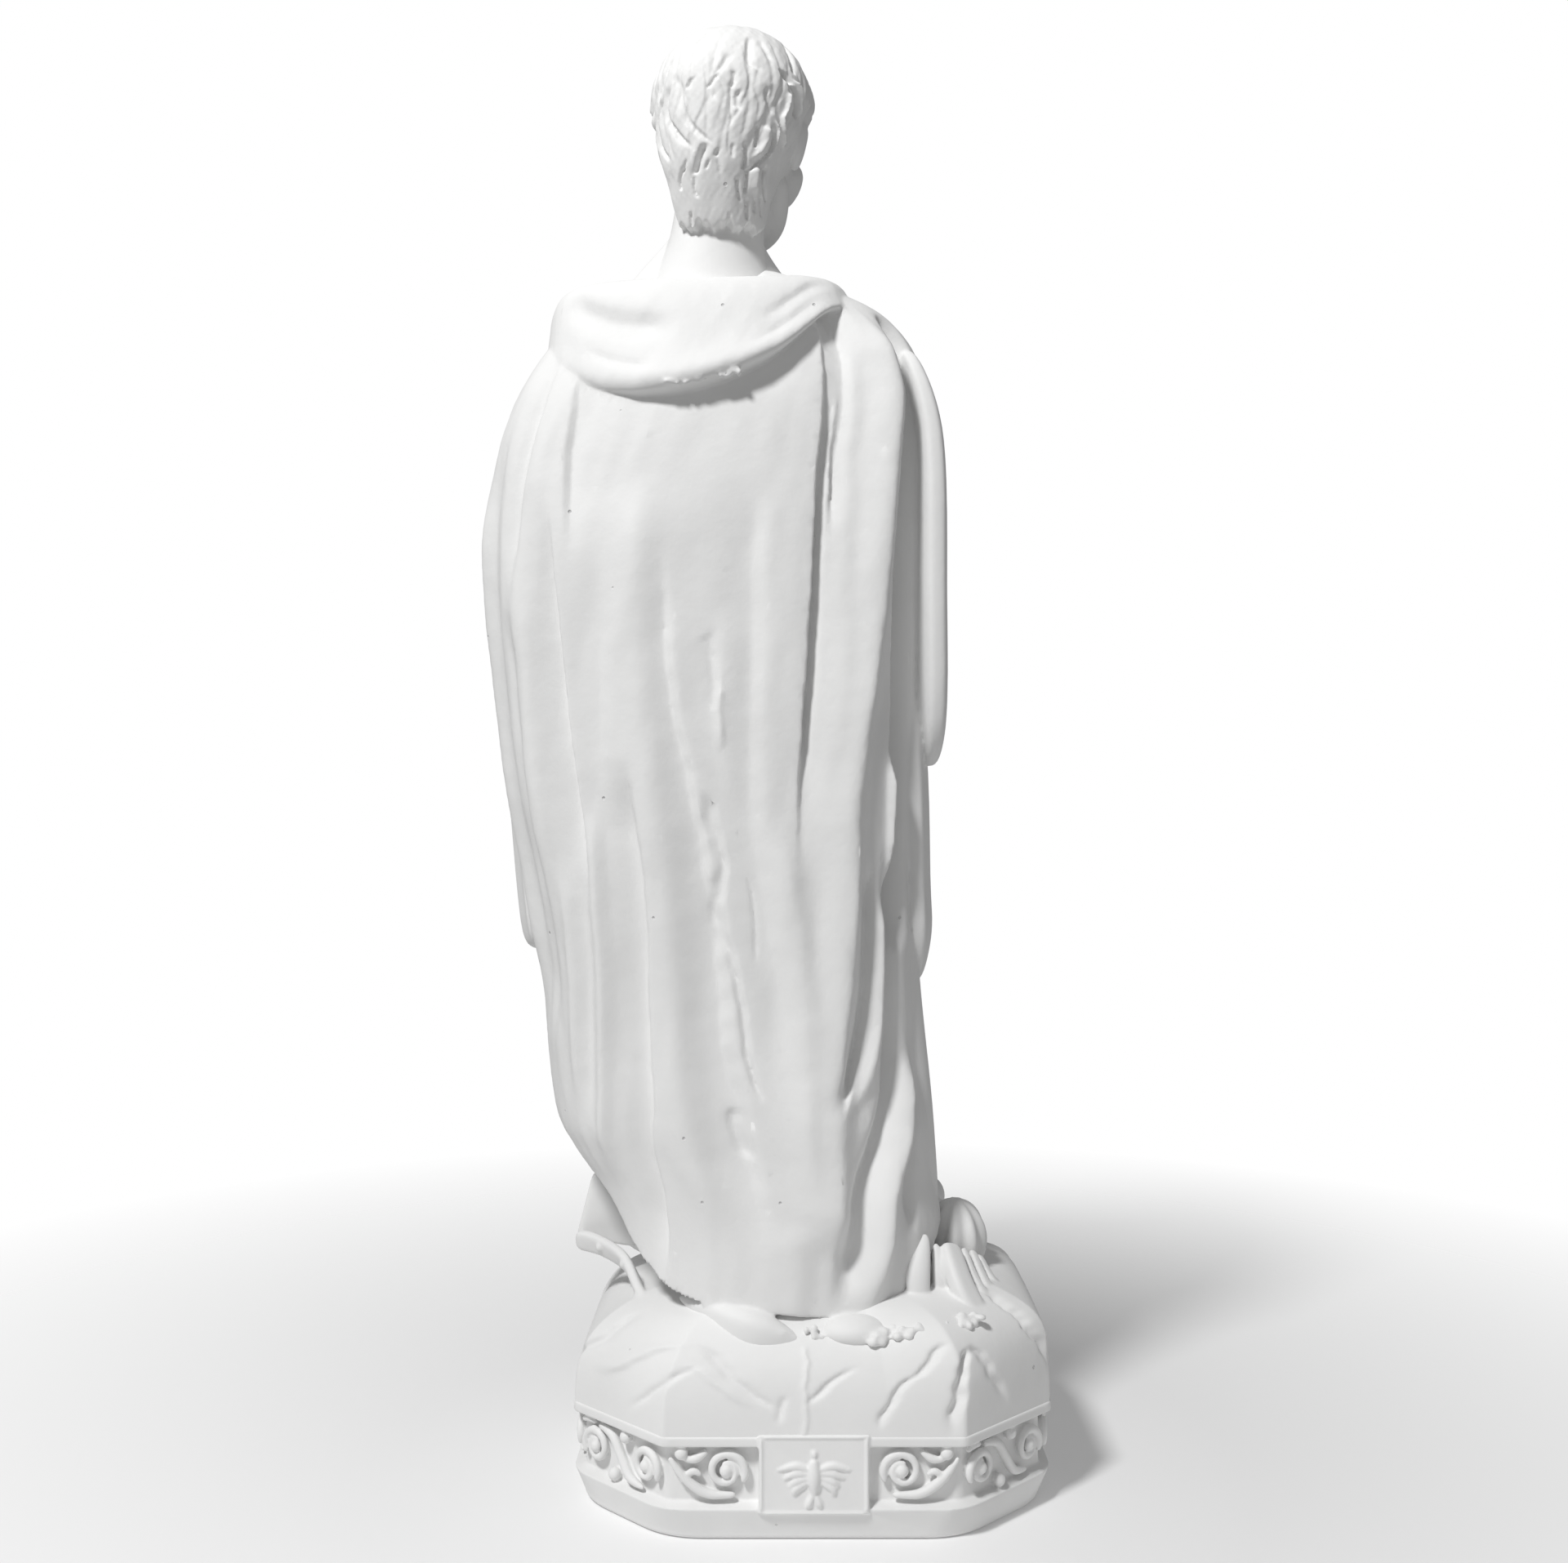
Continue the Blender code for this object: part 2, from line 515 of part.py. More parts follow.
def make_head(collection):
    limb("neck", collection, [(27, -3, 244), (27.5, -1, 260), (27.2, 0, 271), (26.2, 1, 283),
                              (24.5, 1, 298)],
         [17, 17, 16, 13.2, 13.8], 1.0, 0.82, around=40, up=36, blunt=14)
    side = tuple(np.array(head_point(1, 0, 0)) - np.array(HEAD))
    ball("skull", collection, head_point(0, 2.5, 5.5), (19.5, 22, 22), 40, 28)
    limb("face", collection, [head_point(0, -5, 12), head_point(0, -6.5, -5), head_point(0, -8.5, -19),
                              head_point(0, -9, -25)], [17.5, 15.6, 11.6, 7.6], 0.95, 0.86, side, 28, 26, 4)
    limb("jaw", collection, [head_point(-12.4, 1, -9), head_point(-7.5, -10, -19),
                             head_point(0, -14.5, -21.5),
                             head_point(7.5, -10, -19), head_point(12.4, 1, -9)], [4.6, 4.6, 4.6, 4.6, 4.6],
         around=14, up=26, side=(0, 0, 1))
    limb("nose", collection, [head_point(0, -19.0, 3.5), head_point(0, -21.6, -2.5),
                              head_point(0, -24.2, -7.5)],
         [2.0, 2.2, 2.9], 1.0, 1.0, side, 12, 12, 4)
    limb("nose_tip", collection, [head_point(-3.6, -20.3, -8.3), head_point(0, -23.0, -8.4),
                                  head_point(3.6, -20.3, -8.3)], [1.7, 2.4, 1.7], side=(0, 0, 1), around=10,
         up=12, blunt=4)
    for hand in (-1, 1):
        limb(f"brow_{hand + 1}", collection,
             [head_point(hand * 2.5, -19.4, 3.0), head_point(hand * 8, -19.2, 5.2),
              head_point(hand * 14, -13.6, 3.2)],
             [1.8, 2.2, 1.8], side=(0, 0, 1), around=12, up=14, blunt=4)
        ball(f"eye_{hand + 1}", collection, head_point(hand * 7.2, -16.0, -0.6), (3.9, 3.6, 3.2), 14, 10)
        limb(f"upper_lid_{hand + 1}", collection,
             [head_point(hand * 3.4, -18.2, -0.8), head_point(hand * 7.2, -19.9, 1.4),
              head_point(hand * 11.2, -17.0, -0.4)],
             [0.7, 1.0, 0.7], side=(0, 0, 1), around=8, up=12, blunt=4)
        limb(f"lower_lid_{hand + 1}", collection,
             [head_point(hand * 3.6, -18.1, -1.4), head_point(hand * 7.2, -19.2, -3.0),
              head_point(hand * 11.0, -16.9, -1.4)],
             [0.6, 0.8, 0.6], side=(0, 0, 1), around=8, up=12, blunt=4)
        limb(f"cheek_{hand + 1}", collection,
             [head_point(hand * 14, -9, -3), head_point(hand * 10.5, -13.0, -7),
              head_point(hand * 8, -12.5, -13)],
             [5, 5.6, 4.5], around=14, up=14, blunt=4)
        limb(f"ear_{hand + 1}", collection,
             [head_point(hand * 17.8, 1.0, 3), head_point(hand * 19.2, 3.2, 1.5),
              head_point(hand * 18.8, 3.4, -3.5),
              head_point(hand * 17.0, 0.5, -8)], [1.6, 2.4, 2.0, 1.6], 1.5, 1.0, (0, 1, 0), 12, 16, 4)
    limb("upper_lip", collection, [head_point(-5.2, -17.4, -14.4), head_point(-1.6, -19.9, -13.2),
                                   head_point(1.6, -19.9, -13.2), head_point(5.2, -17.4, -14.4)],
         [0.9, 1.5, 1.5, 0.9], side=(0, 0, 1), around=10, up=16, blunt=4)
    limb("lower_lip", collection, [head_point(-4.4, -17.5, -15.4), head_point(0, -19.8, -16.6),
                                   head_point(4.4, -17.5, -15.4)],
         [0.9, 1.9, 0.9], side=(0, 0, 1), around=10, up=14, blunt=4)
    ball("chin", collection, head_point(0, -15.4, -21.8), (5.0, 4.2, 4.0), 14, 10)
    make_hair(collection)


HAIR_ROWS = [
    # height on the head, left side, right side, back
    (-28.5, 38.6, 13.0, 15.0), (-21, 40.6, 11.4, 18.0), (-16, 41.8, 9.8, 20.0), (-11, 43.2, 8.0, 21.8),
    (-2.4, 44.5, 3.0, 23.4), (2, 44.8, 1.6, 24.0), (7.5, 44.8, -0.6, 24.4),
]
HAIR_CROWN = 7.5
HAIR_CROWN_HEIGHT = 22.4
HAIR_MIDDLE_Y = 2.0
HAIR_DEPTH = 1.5
LOCK_WIDENING = 1.8
WAVE_DEPTH = 0.9
HAIRLINE = [(-29, 66), (-12, 74), (-2, 84), (5, 92), (9, 112), (15, 130), (20, 150), (24, 190)]
HAIR_LOCKS = [
    ([(39, 12), (31, 3.5), (24, -2.5), (2, -9)], -0.9, 4, 2.4, 3),
    ([(44, 9), (47, 3.5), (41, -2), (20, -9.5)], -1.3, 4, 2.4, 3),
    ([(51, 7), (60, 1), (57, -5.5), (44, -11.5)], -1.3, 3, 2.4, 3),
    ([(68, 2), (70, -6), (64, -12)], -1.2, 3, 3, 3),
    ([(-9, 7), (-8, 3), (-10, -1)], -1.1, 3.4, 2, 2),
    ([(-25, 8), (-28, 3.5), (-37, 0)], -1.0, 2.2, 2.2, 2),
    ([(1, 17), (2, 14), (5, 11), (10, 8)], -0.8, 2.2, 3, 2),
    ([(-15, 23), (-12, 14), (-21, 9)], -0.9, 2.2, 3.4, 3),
    ([(10, -7), (14, -12), (19, -17)], -2.0, 3, 3.4, 2),
    ([(-10, -7), (-14, -12)], -1.2, 2, 2, 1.4),
    ([(-20, -7), (-25, -12), (-23, -15)], -1.9, 2, 2.4, 1.4),
    ([(-32, -1), (-38, -7), (-33, -12)], 1.7, 4, 4.4, 2),
    ([(-39, -2), (-45, -6), (-45, -10), (-30, -15)], -2.7, 2.2, 2.2, 1.4),
    ([(-39, -12), (-40, -16), (-43, -20)], 1.7, 5, 4.5, 2),
    ([(-29, -13), (-30, -17), (-31, -21)], -2.5, 2, 2.2, 1.4),
    ([(-50, -10), (-49, -15), (-56, -18), (-64, -21)], -2.7, 2.2, 3, 1.6),
    ([(31, -12), (37, -17), (37, -20)], -1.4, 2.2, 2.4, 1.4),
    ([(19, -15), (20, -19), (17, -22)], -1.4, 2.2, 2.2, 1.4),
    ([(-46, 11), (-55, 5.5), (-60, 0)], -2.5, 2.6, 3, 2),
    ([(-45, 9), (-47, 2.5), (-46, -0.5), (-52, -4), (-62, -8)], 1.7, 2.4, 2.4, 2),
    ([(-63, 25), (-54, 17), (-52, 11)], -1.7, 3, 3, 2),
]
SIDE_LOCKS = 9


def side_locks():
    """Locks at the sides and the front sweep forward in even waves."""
    strokes = []
    for i in range(SIDE_LOCKS):
        for hand, first in ((1, 84), (-1, 74)):
            start, lean = hand * (first + 12.5 * i), hand * 9
            path = [(start, 25), (start + lean, 12), (start + lean * 0.4, 3), (start + lean * 1.6, -11)]
            strokes.append((path, -1.4, 2.6 + i % 3, 3.0 + (i + 1) % 3, 4))
            path = [(start + hand * 6, 20), (start + lean + hand * 7, 8), (start + hand * 6, -5)]
            strokes.append((path, 1.0, 3, 3, 4))
    return strokes


def make_hair(collection):
    strokes = [(path, height, left * LOCK_WIDENING, right * LOCK_WIDENING, fade)
               for path, height, left, right, fade in HAIR_LOCKS + side_locks()]

    def place(t, s):
        turn = t * 2 * np.pi
        rise = np.clip((s - 0.5) / 0.5, 0, 1) * np.pi / 2
        rows = through(HAIR_ROWS, np.linspace(0, 1, 60))
        low = rows[0, 0]
        z = np.where(s < 0.5, low + (HAIR_CROWN - low) * s / 0.5,
                     HAIR_CROWN + HAIR_CROWN_HEIGHT * np.sin(rise))
        left, right, back = (np.interp(z, rows[:, 0], rows[:, k]) for k in (1, 2, 3))
        shrink = np.clip(np.cos(rise), 0, 1)
        degrees = np.degrees(turn)
        degrees = np.where(degrees > 180, degrees - 360, degrees)
        locks = HAIR_DEPTH * relief(strokes, degrees, z)
        locks += WAVE_DEPTH * np.sin(degrees * 0.39 + 2.2 * np.sin(z * 0.22 + 0.5)) * eased((z + 26) / 6)
        heights, limits = np.array(HAIRLINE, float).T
        from_face = np.abs(degrees - 180 - math.degrees(HEAD_TURN))
        from_face = np.minimum(from_face, 360 - from_face)
        cover = np.clip((from_face - (180 - np.interp(z, heights, limits))) / 10 + 0.5, 0, 1)
        push = locks * np.sqrt(np.clip(shrink, 0.02, 1)) * cover - 4.5 * (1 - cover)
        half_wide, half_deep = (left - right) / 2 + push, back - HAIR_MIDDLE_Y + push
        x, y = oval(turn, half_wide * shrink, half_deep * shrink, 2.15)
        y = np.where(np.cos(turn) < 0, y * 0.95, y)
        return to_world((left + right) / 2 + x, HAIR_MIDDLE_Y + y, HEAD[2] + z + push * np.sin(rise))

    rolled("hair", collection, 240, 130, place)
    for i in range(7):
        turn = math.radians(180 + (i - 3) * 17)
        points = [head_point(17 * math.sin(turn), 17 * math.cos(turn), 19),
                  head_point(19.5 * math.sin(turn + 0.1), 19.8 * math.cos(turn + 0.1), 14.5),
                  head_point(18.6 * math.sin(turn + 0.22), 18.8 * math.cos(turn + 0.22), 9.5)]
        limb(f"forelock_{i}", collection, points, [2.4, 3.0, 1.6], 1.2, 0.8,
             (math.cos(turn), -math.sin(turn), 0), 10, 12, 4)


# What lies at the feet


def make_helmet(collection):
    """Helmet on the rock by the left foot: a bowl, a flared neck guard and a studded cheek guard."""
    middle = np.array([44.0, -18.0, 12.0])
    ball("helmet_bowl", collection, middle, (14.5, 17, 17), 32, 20)
    limb("helmet_comb", collection, [middle + (0, -18, 2), middle + (0, -8, 18), middle + (0, 6, 18),
                                     middle + (0, 16, 4)],
         [2.2, 3, 3, 2.2], 1.0, 1.0, (1, 0, 0), 12, 22, 6)
    limb("neck_guard", collection, [(54.5, -8, 20.5), (56, -7, 10), (57.5, -6.5, 1.5)], [7.3, 8.4, 9.0],
         1.0, 0.2, (1, 0, 0), 24, 24, 16, 5)
    limb("helmet_band", collection,
         [(66.1, -6, 3.0), (58.8, -3, 2.2), (51.0, 2, -0.3), (45.9, 9, -6.6), (43.6, 15, -9)],
         [3.0, 2.9, 2.9, 2.9, 2.9], 1.0, 0.5, (0.45, 0, 0.9), 18, 36, 12, 3.4)
    limb("band_foot", collection, [(45, 15, -10), (39, 21, -8.6), (33, 25, -8)], [2.2, 2.6, 2.0],
         1.0, 0.5, (0.3, 0.9, 0.3), 14, 16, 8, 3)
    for i, centre in enumerate(((58.8, -1.2, 2.2), (51.4, 3.8, -0.2), (46.6, 10.6, -6.2))):
        ball(f"stud_{i}", collection, centre, (1.3, 1.1, 1.3), 10, 8)


def make_crow(collection):
    """Crow under the right foot: body, head with beak, and the wing and tail that show behind."""
    ball("crow_body", collection, (-30, -26, 2), (13, 17, 9), 28, 18)
    limb("crow_neck", collection, [(-30, -34, 4), (-35, -42, 6), (-38, -46, 7)], [7, 6, 5.5], up=14)
    limb("crow_beak", collection, [(-38, -48, 7), (-41, -54, 6.5), (-43, -60, 5)], [3.4, 2.4, 0.9],
         up=12, around=10)

    def ribbed(points, unit):
        ribs = 0.7 * np.sin(np.arctan2(unit[..., 0], unit[..., 1]) * 9)
        return points + unit * np.array([1, 1, 0]) * ribs[..., None]

    ball("crow_shoulder", collection, (-40.5, 0, 5), (8.2, 12, 10.4), 48, 20, ribbed)
    for i, (top, foot, width) in enumerate((
            ((-37.0, 19, 7.5), (-44.5, 33, -9), 2.5), ((-41.0, 16, 6), (-49.0, 27, -7.5), 1.3),
            ((-43.6, 13, 4.5), (-51.5, 24, -8), 1.3), ((-46.0, 9, 2), (-54.0, 18, -7), 1.3))):
        top, foot = np.array(top, float), np.array(foot, float)
        limb(f"wing_feather_{i}", collection, [top, top * 0.5 + foot * 0.5 + (1.2, 2, 0), foot],
             [width, width * 1.1, width * 0.9], 1.0, 0.7, (1, 0, 0.8), 14, 20, 10, 3.4)
    limb("tail_feather_0", collection, [(-30.0, 24, 12), (-27.6, 29, 3), (-28.6, 31, -6.5)],
         [1.8, 3.4, 2.2],
         1, 0.6, around=14, up=18, blunt=4)
    limb("tail_feather_1", collection, [(-33, 22, 9), (-33.4, 26, 2), (-33, 28, -6)], [1.2, 1.7, 1.3],
         1, 0.6, around=14, up=18, blunt=4)


# Mound of rock

CRACKS = [
    ([(58, 54), (63, 34), (79, 10)], -1.2, 1.6, 2.6, 7),
    ([(33, 46), (44, 37), (58, 20)], 1.1, 4, 2, 7),
    ([(29, 36), (37, 26), (47, 12)], -1.1, 2, 1.6, 7),
    ([(32, 45), (22, 28), (9, 14)], -1.1, 1.8, 2.6, 7),
    ([(-14, 35), (-6, 28), (3, 17)], -1.3, 1.6, 1.6, 7),
    ([(-34, 43), (-29, 30), (-23, 25), (-17, 11)], -1.5, 1.6, 1.6, 7),
    ([(-39, 37), (-36, 22), (-33, 10)], -2.4, 1.8, 1.4, 7),
    ([(-41, 38), (-46, 20), (-51, 11)], -1.3, 1.8, 1.6, 7),
    ([(-60, 66), (-61, 32), (-67, 11)], -1.6, 1.4, 2.2, 7),
    ([(112, 60), (106, 30), (104, 4)], -1.2, 1.6, 2.6, 7),
    ([(132, 60), (136, 30), (140, 4)], -1.4, 1.6, 2.6, 7),
    ([(160, 50), (155, 30), (158, 4)], -1.2, 1.6, 2.6, 7),
    ([(-170, 50), (-174, 30), (-168, 4)], -1.2, 1.6, 2.6, 7),
    ([(-142, 60), (-146, 30), (-140, 4)], -1.4, 1.6, 2.6, 7),
    ([(-108, 60), (-112, 30), (-116, 4)], -1.2, 1.6, 2.6, 7),
]
MOUND_SQUARE = 2.9
MOUND_SQUARE_RIGHT = 5.0


def plinth_reach(turn, inset):
    """Distance from the middle to the chamfered outline; turn is 0 towards the back."""
    half_wide, half_deep = PLINTH_WIDTH / 2 - inset, PLINTH_DEPTH / 2 - inset
    corner = half_wide + half_deep - PLINTH_CORNER + (2 - math.sqrt(2)) * inset
    x, y = np.abs(np.sin(turn)), np.abs(np.cos(turn))
    return 1 / np.maximum(np.maximum(x / half_wide, y / half_deep), (x + y) / corner)


def make_mound(collection):
    def place(t, s):
        turn = t * 2 * np.pi
        rise = np.clip(s * 1.12 - 0.12, 0, 1) * np.pi / 2
        to_right = np.clip(-1.5 * np.sin(turn) - 0.5, 0, 1)
        square = MOUND_SQUARE + (MOUND_SQUARE_RIGHT - MOUND_SQUARE) * to_right
        shrink = np.clip(np.cos(rise), 0, 1) ** (2 / square)
        shrink = np.where(s > 0.9999, 0, shrink)
        lift = np.sin(rise) ** (2 / square)
        degrees = np.degrees(turn)
        degrees = np.where(degrees > 180, degrees - 360, degrees)
        cracks = relief(CRACKS, degrees, s * 100) * CRACK_DEPTH / 1.4 * np.sqrt(shrink)
        reach = plinth_reach(turn, MOUND_INSET) * shrink + cracks * (s > 0.02)
        sink = np.clip(1 - s / 0.1, 0, 1) * MOUND_SINK
        lumps = 0.0007 * np.sin(5 * turn + 1) * np.sin(s * 9) * lift
        z = PLINTH_HEIGHT - sink + MOUND_HEIGHT * lift + cracks * 0.6 * lift + lumps
        return np.stack([reach * np.sin(turn), reach * np.cos(turn), z], axis=-1)

    rolled("mound", collection, 240, 44, place)


# Plinth


def outline(inset, rounding=0.0, steps=2):
    """The plinth's outline, set in from its full size, in order round it, with its corners rounded."""
    half_wide, half_deep = PLINTH_WIDTH / 2 - inset, PLINTH_DEPTH / 2 - inset
    corner = PLINTH_CORNER - (2 - math.sqrt(2)) * inset
    signs = ((1, 1), (-1, 1), (-1, -1), (1, -1))
    points = []
    for k, (sx, sy) in enumerate(signs):
        pair = [(sx * half_wide, sy * (half_deep - corner)), (sx * (half_wide - corner), sy * half_deep)]
        points += [Vector(point) for point in (pair if k % 2 == 0 else pair[::-1])]
    if not rounding:
        return points
    rounded = []
    reach = rounding * math.tan(math.pi / 8)
    for k, point in enumerate(points):
        start = point + (points[k - 1] - point).normalized() * reach
        end = point + (points[(k + 1) % len(points)] - point).normalized() * reach
        for i in range(steps + 1):
            t = i / steps
            rounded.append(start * (1 - t) ** 2 + point * 2 * t * (1 - t) + end * t * t)
    return rounded


def make_plinth(collection):
    """One upright form, drawn up from its underside: rounded foot, band, sloped ledge, frieze, cap."""
    frieze_top = PLINTH_HEIGHT - CAP_HEIGHT
    levels = [
        (0.0, FOOT_ROUNDING + BAND_TAPER, FOOT_CORNER),
        (FOOT_ROUNDING * 0.35, FOOT_ROUNDING * 0.4 + BAND_TAPER, FOOT_CORNER),
        (FOOT_ROUNDING, BAND_TAPER, FOOT_CORNER), (BAND_HEIGHT, 0.0, SHELF_CORNER),
        (BAND_HEIGHT + LEDGE_SLOPE, FRIEZE_RECESS, FRIEZE_CORNER),
        (frieze_top, FRIEZE_RECESS, FRIEZE_CORNER),
        (frieze_top, 0.0, FRIEZE_CORNER), (PLINTH_HEIGHT, 0.0, FRIEZE_CORNER),
    ]
    bm = bmesh.new()
    ring = [bm.verts.new((x, y, levels[0][0])) for x, y in outline(*levels[0][1:])]
    bm.faces.new(ring)
    for height, inset, corner in levels[1:]:
        edges = [edge for edge in bm.edges if edge.is_boundary] or list(bm.edges)
        made = bmesh.ops.extrude_edge_only(bm, edges=edges)
        above = [item for item in made["geom"] if isinstance(item, bmesh.types.BMVert)]
        ring = [bm.verts[index] for index in ring_order(bm, above)]
        for vert, (x, y) in zip(ring, outline(inset, corner)):
            vert.co = (x, y, height)
    bmesh.ops.holes_fill(bm, edges=[edge for edge in bm.edges if edge.is_boundary], sides=0)
    bmesh.ops.recalc_face_normals(bm, faces=bm.faces)
    return finish_mesh(bm, "plinth", collection)


def ring_order(bm, verts):
    """Indices of a new ring's vertices, in the order of the outline they were drawn up from."""
    bm.verts.index_update()
    bm.verts.ensure_lookup_table()
    turned = sorted(verts, key=lambda vert: math.atan2(vert.co.y, vert.co.x) % (2 * math.pi))
    return [vert.index for vert in turned]


def face_frames():
    """The middle, direction and outward normal of each face of the frieze, from the back one round."""
    points = [corner.to_3d() for corner in outline(FRIEZE_RECESS)]
    frames = []
    for k, start in enumerate(points):
        end = points[(k + 1) % len(points)]
        along = (end - start).normalized()
        frames.append(((start + end) / 2, along, Vector((along.y, -along.x, 0)), (end - start).length))
    return frames


def stem(name, collection, points, radii):
    """A round stem as a bevelled curve, made a mesh with its caps welded."""
    curve = bpy.data.curves.new(name, "CURVE")
    curve.dimensions = "3D"
    curve.bevel_depth = 1.0
    curve.bevel_resolution = 0
    curve.use_fill_caps = True
    spline = curve.splines.new("POLY")
    spline.points.add(len(points) - 1)
    for item, point, radius in zip(spline.points, points, radii):
        item.co = (*point, 1)
        item.radius = radius
    obj = bpy.data.objects.new(name, curve)
    collection.objects.link(obj)
    return as_mesh(obj, collection)


def as_mesh(obj, collection):
    """Replaces an object by a mesh of how it is evaluated, with doubled points welded."""
    graph = bpy.context.evaluated_depsgraph_get()
    mesh = bpy.data.meshes.new_from_object(obj.evaluated_get(graph))
    bm = bmesh.new()
    bm.from_mesh(mesh)
    bmesh.ops.remove_doubles(bm, verts=bm.verts, dist=1e-7)
    bm.to_mesh(mesh)
    bm.free()
    made = bpy.data.objects.new(obj.name + "_mesh", mesh)
    made.matrix_world = obj.matrix_world
    collection.objects.link(made)
    bpy.data.objects.remove(obj)
    return made


HALF_MOTIF = [
    # shapes, placed by their share of the run along the face and of the frieze's height
    ("scroll", 0.355, 0.607, 0.413, 1),
    ("stem", [(0.25, 0.21), (0.55, 0.23), (0.785, 0.47), (0.97, 0.83)], 0.08),
    ("bud", 0.84, 0.9, 0.113),
]
CORNER_MOTIF = [
    ("scroll", 0.2, 0.53, 0.4, 1),
    ("scroll", 0.793, 0.553, 0.4, -1),
    ("stem", [(0.23, 0.91), (0.39, 0.83), (0.5, 0.54), (0.61, 0.23), (0.77, 0.15)], 0.08),
    ("bud", 0.56, 0.9, 0.113),
]


def make_frieze(collection):
    """Scrolls and stems round the plinth, left off where the two square panels stand."""
    clear = PANEL_WIDTH / 2
    for k, (middle, along, normal, length) in enumerate(face_frames()):
        if k % 4 == 1:
            for hand in (-1, 1):
                run = along * hand * (length / 2 - clear)
                make_motif(collection, f"{k}_{hand + 1}", HALF_MOTIF, middle + along * hand * clear,
                           run, normal)
        else:
            make_motif(collection, str(k), CORNER_MOTIF, middle - along * length / 2, along * length,
                       normal)


def make_motif(collection, name, motif, start, run, normal):
    def place(across, up):
        height = Vector((0, 0, BAND_HEIGHT + FRIEZE_HEIGHT * up))
        return start + run * across + height + normal * SCROLL_PROUD

    for i, (shape, *sizes) in enumerate(motif):
        if shape == "scroll":
            across, up, size, hand = sizes
            along = run.normalized() * hand
            make_scroll(collection, f"{name}_{i}", place(across, up), along, size * FRIEZE_HEIGHT)
        elif shape == "bud":
            across, up, size = sizes
            make_bud(collection, f"{name}_{i}", place(across, up), size * FRIEZE_HEIGHT)
        else:
            path, width = sizes
            radii = [width * FRIEZE_HEIGHT * share for share in [0.6] + [1.0] * (len(path) - 2) + [0.5]]
            stem(f"stem_{name}_{i}", collection, [place(*point) for point in path], radii)


def make_scroll(collection, name, middle, along, size):
    steps = 9
    points, radii = [], []
    for i in range(steps):
        share = i / (steps - 1)
        turn = math.radians(215 - 400 * share)
        reach = (size - SCROLL_STEM) * (1 - 0.62 * share)
        points.append(middle + along * reach * math.cos(turn) + Vector((0, 0, reach * math.sin(turn))))
        radii.append(SCROLL_STEM * (1 - 0.45 * share))
    stem(f"scroll_{name}", collection, points, radii)
    make_bud(collection, f"eye_{name}", middle, size * 0.21)


def make_bud(collection, name, middle, radius):
    bm = bmesh.new()
    bmesh.ops.create_icosphere(bm, subdivisions=1, radius=radius)
    finish_mesh(bm, f"bud_{name}", collection).location = middle


def make_panels(collection):
    """Square panels in the middle of the back and the front, standing a little proud."""
    for hand in (1, -1):
        bm = bmesh.new()
        bmesh.ops.create_cube(bm, size=1.0)
        depth = FRIEZE_RECESS * 2
        height = PLINTH_HEIGHT - BAND_HEIGHT + 0.0015
        bmesh.ops.scale(bm, vec=(PANEL_WIDTH, depth, height), verts=bm.verts)
        panel = finish_mesh(bm, f"panel_{hand + 1}", collection)
        middle_y = PLINTH_DEPTH / 2 + PANEL_PROUD - depth / 2
        panel.location = (0, hand * middle_y, BAND_HEIGHT - 0.001 + height / 2)
        make_dove(collection, hand)


def make_dove(collection, hand):
    """A plain dove seen from above with its wings spread, in low relief on a panel."""
    face_y = hand * (PLINTH_DEPTH / 2 + PANEL_PROUD)
    middle_z = BAND_HEIGHT + FRIEZE_HEIGHT * 0.52

    def lobe(name, x0, z0, x1, z1, wide):
        points = [Vector((x0, face_y, middle_z + z0)), Vector((x1, face_y, middle_z + z1))]
        middle = points[0] * 0.45 + points[1] * 0.55
        stem(f"dove_{name}_{hand + 1}", collection, [points[0], middle, points[1]],
             [wide * 0.7, wide, wide * 0.35])

    lobe("body", 0, 0.0042, 0, -0.0045, 0.0016)
    for side in (-1, 1):
        lobe(f"wing_{side + 1}", side * 0.0006, 0.0005, side * 0.0082, 0.0036, 0.0014)
        lobe(f"quill_{side + 1}", side * 0.0010, -0.0008, side * 0.0066, -0.0006, 0.0011)


# Joining into one casting


def joined(name, collection, members):
    """One object from several, still separate shells."""
    graph = bpy.context.evaluated_depsgraph_get()
    bm = bmesh.new()
    for obj in members:
        mesh = obj.evaluated_get(graph).to_mesh()
        start = len(bm.verts)
        bm.from_mesh(mesh)
        bm.verts.ensure_lookup_table()
        bmesh.ops.transform(bm, matrix=obj.matrix_world, verts=bm.verts[start:])
    made = finish_mesh(bm, name, collection)
    for obj in members:
        bpy.data.objects.remove(obj)
    return made


def largest_skin(bm):
    """Deletes every closed skin but the largest, so hollows inside are filled."""
    seen, skins = set(), []
    for start in bm.faces:
        if start in seen:
            continue
        skin, front = [start], [start]
        seen.add(start)
        while front:
            for edge in front.pop().edges:
                for face in edge.link_faces if len(edge.link_faces) == 2 else ():
                    if face not in seen:
                        seen.add(face)
                        skin.append(face)
                        front.append(face)
        skins.append(skin)
    skins.sort(key=len, reverse=True)
    bmesh.ops.delete(bm, geom=[face for skin in skins[1:] for face in skin], context="FACES")


